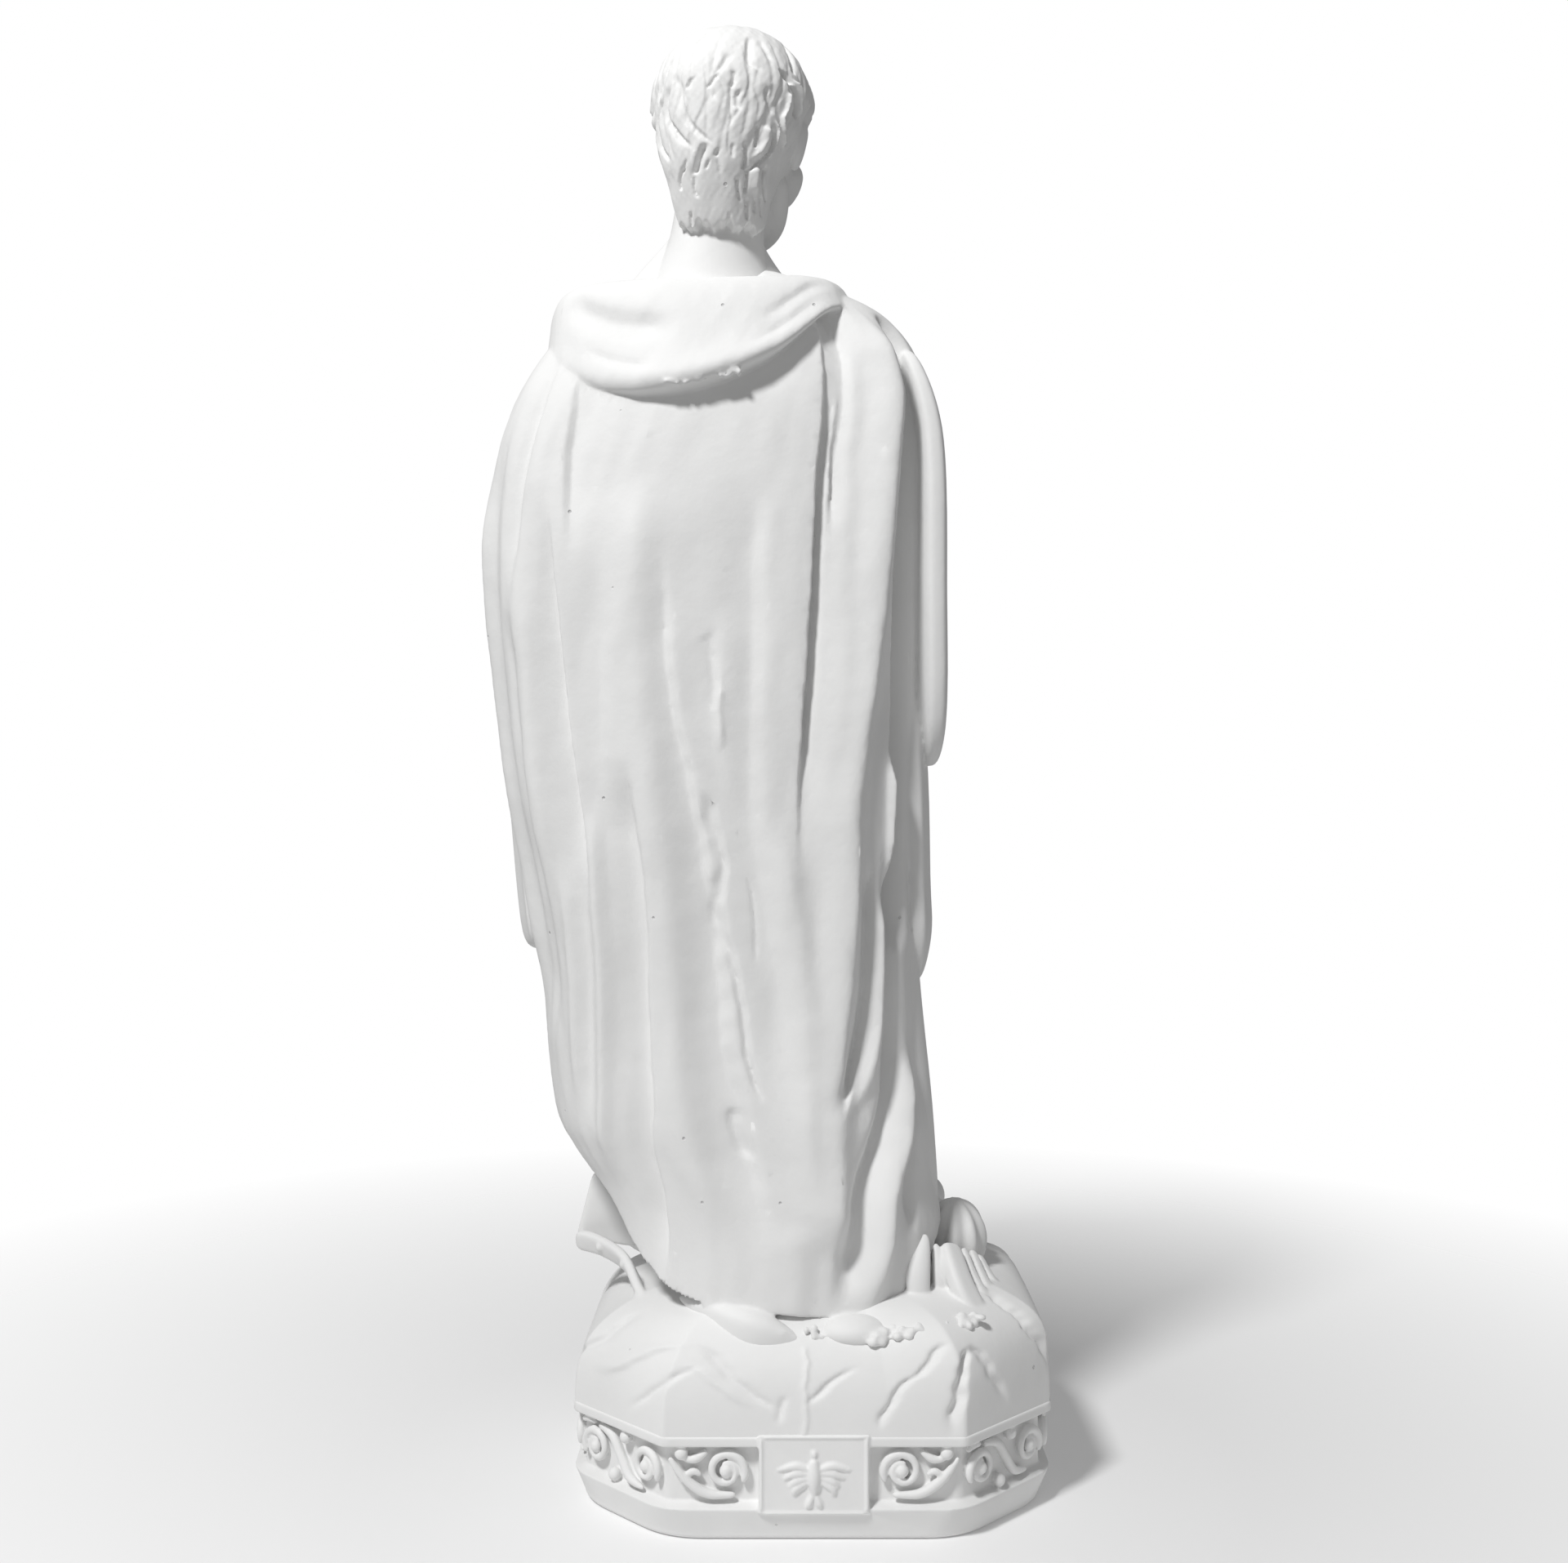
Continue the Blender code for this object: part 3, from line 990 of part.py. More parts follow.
def heal_skin(mesh):
    """Leaves one closed skin: pinched places are cut out and closed again with a patch."""
    bm = bmesh.new()
    bm.from_mesh(mesh)
    largest_skin(bm)
    for _ in range(8):
        pinched = [vert for vert in bm.verts if not vert.is_manifold or vert.is_boundary]
        if not pinched:
            break
        bmesh.ops.delete(bm, geom=pinched, context="VERTS")
        largest_skin(bm)
        made = bmesh.ops.holes_fill(bm, edges=[edge for edge in bm.edges if edge.is_boundary], sides=0)
        bmesh.ops.poke(bm, faces=[face for face in made["faces"] if len(face.verts) > 3])
    bmesh.ops.recalc_face_normals(bm, faces=bm.faces)
    bm.to_mesh(mesh)
    bm.free()


def carve(obj, collection, voxel, triangles):
    """Melts the overlapping forms into one skin, eases it, and thins it to the given triangles."""
    melt = obj.modifiers.new("melt", "REMESH")
    melt.mode = "VOXEL"
    melt.voxel_size = voxel
    ease = obj.modifiers.new("ease", "SMOOTH")
    ease.factor = 0.5
    ease.iterations = 2
    bpy.context.view_layer.update()
    skin = as_mesh(obj, collection)
    heal_skin(skin.data)
    faces = sum(len(polygon.vertices) - 2 for polygon in skin.data.polygons)
    thin = skin.modifiers.new("thin", "DECIMATE")
    thin.ratio = min(1.0, triangles / faces)
    thin.use_collapse_triangulate = True
    bpy.context.view_layer.update()
    skin = as_mesh(skin, collection)
    heal_skin(skin.data)
    return skin


def main():
    clear_scene()
    statue_collection = new_collection("saint_expeditus_statue")
    forms = new_collection("forms")
    make_mound(forms)
    make_cloak(forms)
    make_torso(forms)
    make_arms(forms)
    make_attributes(forms)
    make_legs(forms)
    make_helmet(forms)
    make_crow(forms)
    bpy.context.view_layer.update()
    figure = joined("figure", forms, list(forms.objects))
    carve(figure, forms, FIGURE_VOXEL, FIGURE_TRIANGLES)
    head_forms = new_collection("head_forms")
    make_head(head_forms)
    bpy.context.view_layer.update()
    head = joined("head", head_forms, list(head_forms.objects))
    carve(head, forms, HEAD_VOXEL, HEAD_TRIANGLES)

    plinth = make_plinth(statue_collection)
    make_frieze(forms)
    make_panels(forms)
    union = plinth.modifiers.new("cast_in_one", "BOOLEAN")
    union.operation = "UNION"
    union.operand_type = "COLLECTION"
    union.collection = forms
    union.solver = "EXACT"
    union.use_self = True
    bpy.context.view_layer.update()
    statue = as_mesh(plinth, statue_collection)
    heal_skin(statue.data)
    statue.name = "statue"
    statue.data.materials.clear()
    statue.data.materials.append(plaster_material())
    statue.data.shade_smooth()
    statue.data.set_sharp_from_angle(angle=math.radians(40))
    for obj in list(forms.objects):
        bpy.data.objects.remove(obj)
    bpy.data.collections.remove(forms)
    bpy.data.collections.remove(head_forms)


main()
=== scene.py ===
import math

import bmesh
import bpy
import numpy as np
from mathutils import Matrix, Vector


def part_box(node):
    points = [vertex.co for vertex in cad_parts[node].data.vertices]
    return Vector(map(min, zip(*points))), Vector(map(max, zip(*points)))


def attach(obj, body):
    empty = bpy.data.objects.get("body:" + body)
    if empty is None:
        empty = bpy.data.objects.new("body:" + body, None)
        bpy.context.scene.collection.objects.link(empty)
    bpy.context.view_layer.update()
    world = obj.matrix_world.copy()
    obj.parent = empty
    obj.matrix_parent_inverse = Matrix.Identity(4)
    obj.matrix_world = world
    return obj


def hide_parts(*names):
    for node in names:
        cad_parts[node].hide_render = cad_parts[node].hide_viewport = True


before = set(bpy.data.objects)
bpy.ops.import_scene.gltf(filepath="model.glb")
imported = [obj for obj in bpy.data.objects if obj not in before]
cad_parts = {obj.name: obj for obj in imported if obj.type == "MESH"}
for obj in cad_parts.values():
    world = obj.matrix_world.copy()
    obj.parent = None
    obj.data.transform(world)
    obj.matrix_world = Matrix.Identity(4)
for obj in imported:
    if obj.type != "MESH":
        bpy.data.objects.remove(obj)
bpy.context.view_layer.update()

# The figure's parts are in millimetres counted up from its soles, which stand 57.5 mm above the table.
part = 0.001
partsPerMetre = 1000
soleHeight = 0.0575
boxLow, boxHigh = [np.array(corner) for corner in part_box("statue")]

# The camera stands behind the figure, level with its thighs.
camera = {"place": (0.0075, 0.4733, 0.1897), "lens": 38.8, "sensor": 36.0}


# Curves, strokes and unevenness

def through(rows, share):
    rows = np.asarray(rows, float)
    last = len(rows) - 1
    place = np.clip(np.asarray(share, float), 0, 1) * last
    index = np.minimum(place.astype(int), last - 1)
    t = (place - index)[..., None]
    before, start = rows[np.maximum(index - 1, 0)], rows[index]
    end, after = rows[index + 1], rows[np.minimum(index + 2, last)]
    bend = 2 * before - 5 * start + 4 * end - after
    twist = 3 * start - before - 3 * end + after
    return 0.5 * (2 * start + (end - before) * t + bend * t * t + twist * t ** 3)


def ease(value):
    value = np.clip(value, 0, 1)
    return value * value * (3 - 2 * value)


# A stroke is (path, height, width on its left, width on its right, length of its faded ends).
# It is a ridge, or a groove if its height is negative; unequal widths make an overlapping step.
usualFade = 12.0


def relief(strokes, across, up, wobble=0.0):
    total = np.zeros_like(up)
    for number, stroke in enumerate(strokes):
        path, height, wideLeft, wideRight = stroke[:4]
        fade = stroke[4] if len(stroke) > 4 else usualFade
        line = through(path, np.linspace(0, 1, 40))
        order = np.argsort(line[:, 1])
        middle = np.interp(up, line[order, 1], line[order, 0])
        if wobble:
            sway = np.sin(up * 0.31 + number * 2.1) + 0.6 * np.sin(up * 0.83 + number)
            middle = middle + wobble * sway
        offset = across - middle
        width = np.where(offset > 0, wideLeft, wideRight)
        ends = ease((up - line[:, 1].min()) / fade) * ease((line[:, 1].max() - up) / fade)
        total += height * ends * np.exp(-((offset / width) ** 2))
    return total


def readRows(rows, heights):
    return [np.interp(heights, rows[:, 0], rows[:, k]) for k in (1, 2, 3)]


def fromBack(turn):
    degrees = np.degrees(turn)
    return np.where(degrees > 180, degrees - 360, degrees)


def uneven(x, y, z, size):
    a = np.sin(x / size * 1.7 + 1.3) * np.sin(y / size * 1.9 + 0.4) * np.sin(z / size * 1.3 + 2.1)
    b = np.sin(x / size * 3.9 + z / size * 2.2) * np.sin(y / size * 3.1 - z / size * 2.9 + 1.0)
    return a + 0.45 * b


# Solids

def makeObject(name, bm):
    mesh = bpy.data.meshes.new(name)
    bm.to_mesh(mesh)
    bm.free()
    obj = bpy.data.objects.new(name, mesh)
    bpy.context.scene.collection.objects.link(obj)
    return obj


forms = []


def rollGrid(name, around, up, place):
    bm = bmesh.new()
    bmesh.ops.create_grid(bm, x_segments=around, y_segments=up, size=0.5)
    flat = np.array([vert.co[:] for vert in bm.verts])
    points = place(flat[:, 0] + 0.5, flat[:, 1] + 0.5)
    for vert, point in zip(bm.verts, points):
        vert.co = point
    bmesh.ops.remove_doubles(bm, verts=bm.verts, dist=2e-6)
    rims = [edge for edge in bm.edges if edge.is_boundary]
    if rims:
        bmesh.ops.holes_fill(bm, edges=rims, sides=0)
    bmesh.ops.recalc_face_normals(bm, faces=bm.faces)
    obj = makeObject(name, bm)
    forms.append(obj)
    return obj


def toWorld(x, y, z):
    return np.stack([x * part, y * part, soleHeight + z * part], axis=-1)


# A rounded solid along a spine: wide times the radius along side, thick times it across.
def limb(name, spine, radii, wide=1.0, thick=1.0, side=(1, 0, 0), around=24, up=36, blunt=6.0, square=2.0,
         wave=None):
    spine = np.asarray(spine, float)
    radii = np.asarray(radii, float)[:, None]

    def place(t, s):
        turn = t * 2 * np.pi
        centre = through(spine, s)
        ahead = through(spine, s + 0.01) - through(spine, s - 0.01)
        ahead /= np.linalg.norm(ahead, axis=-1, keepdims=True)
        cross = np.cross(ahead, np.asarray(side, float))
        cross /= np.linalg.norm(cross, axis=-1, keepdims=True)
        along = np.cross(cross, ahead)
        end = np.sqrt(np.clip(1 - np.abs(2 * s - 1) ** blunt, 0, 1))
        radius = through(radii, s)[..., 0] * end
        b, a = oval(turn, 1.0, 1.0, square)
        b = b * thick * radius
        if wave is not None:
            b = b + wave(a, s) * end
        points = centre + along * (a * wide * radius)[..., None] + cross * b[..., None]
        return toWorld(*np.moveaxis(points, -1, 0))

    return rollGrid(name, around, up, place)


def ball(name, centre, radii, around=40, up=28, shape=None):
    def place(t, s):
        turn, rise = t * 2 * np.pi, (s - 0.5) * np.pi
        unit = np.stack([np.cos(rise) * np.cos(turn), np.cos(rise) * np.sin(turn), np.sin(rise)], -1)
        points = np.asarray(centre, float) + unit * np.asarray(radii, float)
        if shape is not None:
            points = shape(points, unit)
        return toWorld(*np.moveaxis(points, -1, 0))

    return rollGrid(name, around, up, place)


# Point of a squared-off oval: turn is 0 at the back and grows towards the figure's left.
def oval(turn, halfWide, halfDeep, square):
    x = halfWide * np.sign(np.sin(turn)) * np.abs(np.sin(turn)) ** (2 / square)
    y = halfDeep * np.sign(np.cos(turn)) * np.abs(np.cos(turn)) ** (2 / square)
    return x, y


# Smallest detail in metres and most triangles of each piece
castings = {"figure": (0.0005, 195000), "head": (0.00034, 150000), "mound": (0.00045, 150000),
            "plinth": (0.00034, 180000)}


# Melts the forms made since the last call into one skin, as plaster fills a mould.
def castForms(name):
    voxel, triangles = castings[name]
    bm = bmesh.new()
    for obj in forms:
        bm.from_mesh(obj.data)
        bpy.data.objects.remove(obj)
    forms.clear()
    obj = makeObject(name, bm)
    melt = obj.modifiers.new("melt", "REMESH")
    melt.mode = "VOXEL"
    melt.voxel_size = voxel * 1.0
    soften = obj.modifiers.new("soften", "SMOOTH")
    soften.factor = 0.5
    soften.iterations = 1
    faces = len(takeShape(obj).polygons)
    thin = obj.modifiers.new("thin", "DECIMATE")
    thin.ratio = min(1.0, triangles / (2.0 * faces))
    thin.use_collapse_triangulate = True
    mesh = takeShape(obj)
    keepSkin(mesh)
    bpy.data.objects.remove(obj)
    bm = bmesh.new()
    bm.from_mesh(mesh)
    for vert in bm.verts:
        for axis in range(3):
            vert.co[axis] = min(max(vert.co[axis], boxLow[axis]), boxHigh[axis])
    bmesh.ops.recalc_face_normals(bm, faces=bm.faces)
    obj = makeObject(name, bm)
    obj.data.shade_smooth()
    print(name, "has", len(obj.data.polygons), "triangles")
    return obj


def takeShape(obj):
    bpy.context.view_layer.update()
    graph = bpy.context.evaluated_depsgraph_get()
    return bpy.data.meshes.new_from_object(obj.evaluated_get(graph))


# Hollows enclosed by overlapping forms are filled: only the widest skin stays.
def keepSkin(mesh):
    count = len(mesh.vertices)
    ends = np.empty(len(mesh.edges) * 2, np.int64)
    mesh.edges.foreach_get("vertices", ends)
    ends = ends.reshape(-1, 2)
    label = np.arange(count)
    while True:
        lowest = np.minimum(label[ends[:, 0]], label[ends[:, 1]])
        fresh = label.copy()
        np.minimum.at(fresh, ends[:, 0], lowest)
        np.minimum.at(fresh, ends[:, 1], lowest)
        fresh = fresh[fresh]
        if (fresh == label).all():
            break
        label = fresh
    names, sizes = np.unique(label, return_counts=True)
    keep = names[np.argmax(sizes)]
    if len(names) > 1:
        bm = bmesh.new()
        bm.from_mesh(mesh)
        spare = [vert for vert in bm.verts if label[vert.index] != keep]
        bmesh.ops.delete(bm, geom=spare, context="VERTS")
        bm.to_mesh(mesh)
        bm.free()


# Cloak. Rows are (height, left side, right side, back), the hem is (degrees, how far it is raised),
# and folds and cracks are strokes along (degrees, height) paths, with 0 degrees in the middle of the back.
cloak = {
    "rows": [
        (-4, 54, -34, 40), (12, 56, -36, 39), (24, 60, -34, 38), (33, 66, -33.5, 37),
        (42, 70.5, -33, 36.5), (60, 73, -30, 34.6), (83, 75, -29, 33.6), (106, 78.5, -28.5, 33),
        (130, 83.5, -29, 32.6), (165, 87.8, -31, 31), (193, 90, -32, 29), (216, 89, -33, 26.6),
        (234, 84, -33.5, 24), (246, 78, -31, 21), (255, 71, -27, 18), (263, 60, -19, 14.5),
        (269, 46, -6, 11), (274, 34, 8, 6),
    ],
    "middleY": -2.0, "square": 2.6, "thick": 6.5, "outer": 0.78, "front": 24.0,
    "edgeLeft": 118, "edgeRight": -112, "smoothTop": 14, "smoothEdge": 20,
    "hem": [
        (-100, 20), (-68, 12), (-56, 3), (-48, -1), (-36, -3), (-24, -2), (-8, -1.5), (3, 0), (15, 1),
        (25, 2.5), (34, 5), (44, 10), (52, 16), (60, 26), (75, 34), (110, 40),
    ],
    "hemReach": 100.0,
    "folds": [
        ([(53, 256), (51, 219), (57, 175)], -1.8, 5, 2.4, 26),
        ([(39, 250), (33, 225), (29, 190)], -1.7, 1.0, 8, 24),
        ([(44, 240), (42, 200), (47, 150), (50, 100)], 0.9, 5, 5, 30),
        ([(39, 214), (36.5, 175), (36, 152), (34, 96)], -3.4, 9, 1.4, 34),
        ([(50, 206), (51, 150), (55, 85)], 1.6, 7, 7, 34),
        ([(58, 180), (60, 130), (62, 60)], -1.4, 5, 5, 20),
        ([(20, 206), (25, 144), (30, 94)], -2.0, 9, 4, 34),
        ([(29, 128), (33, 74), (37, 46), (47, 24)], 1.9, 3.5, 3, 16),
        ([(38, 112), (41, 70), (45, 40)], -1.5, 3.5, 4, 16),
        ([(43, 114), (47, 73), (50, 42)], 1.3, 3.5, 4, 16),
        ([(17, 140), (17, 102), (19, 79), (21, 47), (31, 19), (35, 0)], -3.4, 8, 1.6, 22),
        ([(11, 216), (10, 165), (9, 118), (10, 70), (12, 12)], 2.0, 6, 5, 20),
        ([(6, 196), (6, 160), (3, 130), (1.5, 100), (1, 60), (0, 42), (2, 8)], -2.5, 7, 1.3, 30),
        ([(-3, 180), (-2.4, 150), (-3.5, 122)], 0.9, 1.6, 4, 14),
        ([(-1.8, 160), (-1.6, 150), (-1.6, 139)], 0.8, 0.7, 0.5, 5),
        ([(-8, 216), (-7, 160), (-6, 120), (-10, 78), (-14, 44)], -1.5, 7, 2.6, 24),
        ([(-13, 126), (-16, 83), (-15, 60), (-8, 16)], 1.8, 5, 4, 20),
        ([(-24.5, 300), (-24, 218), (-23.4, 182), (-18, 104)], -2.8, 0.8, 10, 44),
        ([(-24.8, 270), (-24.6, 218), (-24, 182), (-20.5, 132)], -2.4, 0.6, 1.7, 20),
        ([(-31, 264), (-29.6, 245), (-29, 196)], -2.0, 0.7, 2.6, 16),
        ([(-38, 258), (-38, 214), (-36, 160), (-30, 120)], -1.2, 4, 5, 20),
        ([(-46, 262), (-47, 228), (-43, 180), (-35, 130), (-33, 100), (-25, 59), (-14, 8)], 4.0, 9, 6, 14),
        ([(-64, 262), (-60, 228), (-60, 176), (-62, 135), (-60, 104), (-57, 86)], -10.0, 4.5, 7, 10),
        ([(-54, 142), (-55, 112), (-53, 84)], 3.0, 1.8, 2.5, 12),
        ([(-45, 112), (-43, 83), (-36, 62), (-21, 43)], -3.0, 5, 0.8, 12),
        ([(-49, 104), (-46, 73), (-37, 55), (-27, 44)], 2.0, 2.4, 4.5, 12),
        ([(-58, 116), (-54, 77), (-51, 54), (-39, 37), (-25, 19), (-18, -6)], -4.6, 5, 4, 16),
        ([(-62, 62), (-56, 44), (-45, 31), (-34, 15), (-28, -8)], 2.8, 5, 4, 16),
        ([(-64, 54), (-56, 34), (-47, 12)], -3.0, 3.5, 3, 10),
        ([(-4, 20), (-3, 6), (-3, -10)], 1.2, 4, 4, 8),
        ([(70, 232), (76, 150), (70, 60)], -2.0, 9, 9, 24),
        ([(84, 220), (86, 150), (82, 70)], 2.2, 7, 7, 24),
        ([(96, 220), (97, 150), (98, 70)], -3.2, 6, 6, 24),
        ([(-80, 230), (-84, 150), (-80, 60)], -3.0, 6, 6, 24),
    ],
    "cracks": [
        ([(-0.6, 172), (-0.9, 150)], -0.6, 0.5, 0.5, 3),
        ([(0.5, 130), (-0.7, 112), (0.3, 96), (-1.6, 80), (-2.6, 62), (-4.2, 48)], -1.3, 0.7, 0.55, 6),
        ([(-5, 108), (-6, 96), (-5.2, 84)], -0.6, 0.4, 0.4, 4),
        ([(0.4, 48), (0.8, 41), (0.2, 34)], -1.3, 0.8, 0.9, 3),
    ],
}


def cloakPlace(t, s):
    rows = through(cloak["rows"], np.linspace(0, 1, 200))
    low, high = rows[0, 0], rows[-1, 0]
    z = low + (high - low) * s
    edgeLeft, edgeRight = math.radians(cloak["edgeLeft"]), math.radians(cloak["edgeRight"])
    outer = t < cloak["outer"]
    run = np.where(outer, t / cloak["outer"], 1 - (t - cloak["outer"]) / (1 - cloak["outer"]))
    turn = edgeRight + (edgeLeft - edgeRight) * run
    degrees = np.degrees(turn)
    lift = np.interp(degrees, *np.array(cloak["hem"], float).T)
    z = z + lift * np.clip(1 - (z - low) / cloak["hemReach"], 0, 1)
    left, right, back = readRows(rows, z)
    depth = np.where(np.cos(turn) > 0, back - cloak["middleY"], cloak["front"] * np.clip(s * 6, 0.5, 1))
    inner = np.where(outer, 0, np.sin(np.pi * np.clip(run, 0, 1)) ** 0.3) * cloak["thick"]
    folds = relief(cloak["folds"], degrees, z, 0.12) + relief(cloak["cracks"], degrees, z, 0.14)
    folds = folds + 0.16 * uneven(degrees * 1.1, z * 0.35, z * 0.2, 5) + 0.06 * uneven(degrees, z, z, 1.7)
    top = cloak["rows"][-1][0]
    folds = np.where(outer, folds, np.minimum(folds, 0)) * np.clip((top - z) / cloak["smoothTop"], 0, 1)
    folds = folds * np.clip((cloak["edgeLeft"] - np.abs(degrees)) / cloak["smoothEdge"], 0, 1)
    push = folds - inner
    x, y = oval(turn, (left - right) / 2 + push, np.maximum(depth + push, 2), cloak["square"])
    return toWorld((left + right) / 2 + x, cloak["middleY"] + y, z)


# What fills the space between the cloak and the body. Rows are (height, middle, half width, half depth).
lining = {
    "rows": [(-12, 9, 30, 18), (60, 20, 34, 17), (150, 27, 42, 16), (230, 26, 44, 15), (262, 25, 26, 10)],
    "middleY": 8, "square": 2.4,
}


def liningPlace(t, s):
    row = through(lining["rows"], s)
    x, y = oval(t * 2 * np.pi, row[..., 2], row[..., 3], lining["square"])
    return toWorld(row[..., 1] + x, lining["middleY"] + y, row[..., 0])


# The hood rolled round the neck. Rows are (degrees, middle height, half height, distance out), and folds
# are a path of (degrees, height from the roll's middle), a depth and a width.
cowl = {
    "rows": [
        (-180, 243, 7, 30), (-120, 257, 6.5, 31), (-80, 265, 5.5, 31.5), (-50, 265, 6, 32),
        (-20, 257, 12.5, 33), (10, 252.5, 16.2, 34), (40, 252, 16.7, 38), (70, 256.5, 12, 43),
        (100, 257, 10, 41.5), (140, 248, 8, 34), (180, 243, 7, 30),
    ],
    "folds": [
        ([(70, 7), (42, 3), (14, 1)], -1.7, 3.6), ([(56, -4), (36, -8), (18, -10)], -0.5, 1.2),
        ([(-60, 2), (-40, 2), (-14, -1)], -0.9, 1.4), ([(-48, -1), (-30, -4), (-8, -8)], -0.5, 1.0),
    ],
    "middle": (25, -3), "deep": 0.66, "wide": 0.98, "square": 2.9, "foldFade": 14,
    "thick": 6.0, "lip": 2.6, "lipPlace": 0.86, "lipWidth": 0.34, "undercut": 1.6, "undercutHigh": 0.09,
    "lean": -1.0, "backLean": -4.0,
}


def cowlPlace(t, s):
    degrees = -180 + 360 * s
    fine = through(cowl["rows"], np.linspace(0, 1, 160))
    height, half, reach = readRows(fine, degrees)
    turn = np.radians(degrees)
    back = np.clip(np.cos(turn), 0, 1)
    section = t * 2 * np.pi
    rise, outward = oval(section, 1.0, 1.0, cowl["square"])
    lip = np.exp(-((rise + cowl["lipPlace"]) / cowl["lipWidth"]) ** 2) * back
    out = outward * (cowl["thick"] + cowl["lip"] * lip) + rise * (cowl["lean"] + cowl["backLean"] * back)
    out = out - cowl["undercut"] * ease(1 - (rise + 1) / cowl["undercutHigh"]) * back
    for path, depth, width in cowl["folds"]:
        line = through(path, np.linspace(0, 1, 30))
        order = np.argsort(line[:, 0])
        off = rise * half - np.interp(degrees, line[order, 0], line[order, 1])
        low, high = line[:, 0].min(), line[:, 0].max()
        ends = ease((degrees - low) / cowl["foldFade"]) * ease((high - degrees) / cowl["foldFade"])
        out = out + depth * ends * np.exp(-((off / width) ** 2)) * (outward > 0)
    out = out + 0.12 * uneven(degrees, rise * half, degrees * 0.3, 4) * (outward > 0)
    x = cowl["middle"][0] + (reach + out) * np.sin(turn) * cowl["wide"]
    y = cowl["middle"][1] + (reach * cowl["deep"] + out) * np.cos(turn)
    return toWorld(x, y, height + rise * half)


# Ends of the cloak that hang at the sides, and its hem on the rock: spine, radii, thickness, side, number,
# place and depth of the waves, bluntness of the ends and squareness of the section.
flaps = {
    "left": ([(82, -12, 200), (81, -15, 150), (78.8, -15, 112), (76.8, -14, 84)], [13, 14, 13, 11], 0.34,
             (0.25, 1, 0), 5, 0.6, 1.6, 10, 2),
    "leftInner": ([(66, -24, 192), (64, -27, 150), (62, -26, 104)], [12, 13, 10], 0.4,
                  (1, -0.5, 0), 5, 0, 1.6, 10, 2),
    "rightOuter": ([(-25, 0, 252), (-31.2, 1, 226), (-31.9, 1, 180), (-32.2, 0, 152), (-32.2, -3, 137)],
                   [11, 15, 16, 15, 9], 0.24, (-0.1, 1, 0), 4, 1, 0.6, 8, 3.6),
    "rightInner": ([(-25, -3, 190), (-28.6, -2, 140), (-29.6, -2, 104), (-30.2, -2, 90), (-29, -3, 76)],
                   [11, 13, 13, 12, 8], 0.27, (0.1, 1, 0), 5, -0.7, 0.6, 8, 3.2),
    "rightLow": ([(-24, 0, 112), (-26, 1, 74), (-29, 2, 40), (-32, 2, 6)], [10, 12, 13, 11], 0.36,
                 (0.1, 1, 0), 5, 2, 0.8, 8, 2.6),
    "hemTrain": ([(35, 30, -3.0), (26, 36, -5), (15, 41, -8), (3, 43.5, -10.5)], [1.6, 4.2, 6.4, 3.2], 0.8,
                 (0, 0, 1), 2, 0, 0, 3, 3.0),
}


# Rough spots left by the mould, and loose bits of rock: name, one end, other end, spread, number and
# largest radius
crumbs = [
    ("lipFlash", (40, 28.2, 236.9), (17, 28.3, 240.6), (0.8, 0.4, 0.9), 24, 1.0),
    ("backSpecks", (12.5, 37.0, 22), (9.5, 38.3, 4), (1.8, 0.4, 1.0), 16, 0.9),
    ("trainEdge", (12, 44, -9), (-2, 43, -8), (2.0, 1.0, 1.6), 14, 1.3),
    ("rockRubble", (-14, 45.5, -9.0), (-41, 39.5, -6.0), (3.5, 2.4, 1.4), 80, 1.6),
    ("rockChips", (-22, 49, -12.5), (-29, 47, -11.5), (2.2, 1.2, 1.6), 26, 1.5),
]


def scatter(name, start, end, spread, count, size):
    dice = np.random.default_rng(count)
    for i in range(count):
        share = dice.random()
        centre = np.array(start, float) * (1 - share) + np.array(end, float) * share
        centre += dice.uniform(-1, 1, 3) * spread
        ball(f"{name}{i}", centre, size * dice.uniform(0.5, 1.0, 3), 12, 9)


def makeCloak():
    rollGrid("cloakCloth", 760, 540, cloakPlace)
    rollGrid("cloakLining", 60, 40, liningPlace)
    rollGrid("cowlRoll", 150, 420, cowlPlace)
    ball("brooch", (8, -26, 247), (6, 3, 6))
    ball("rolledFold", (-10.8, 40.8, -8.4), (8.6, 6.2, 4.0), 60, 40)
    for name, (spine, radii, thick, side, count, shift, depth, blunt, square) in flaps.items():
        wide = 0.75 if name == "hemTrain" else 1.0
        limb(name, spine, radii, wide, thick, side, 100, 140, blunt, square,
             lambda a, s, count=count, shift=shift, depth=depth: depth * np.sin(a * count + shift))
    for area in crumbs:
        scatter(*area)


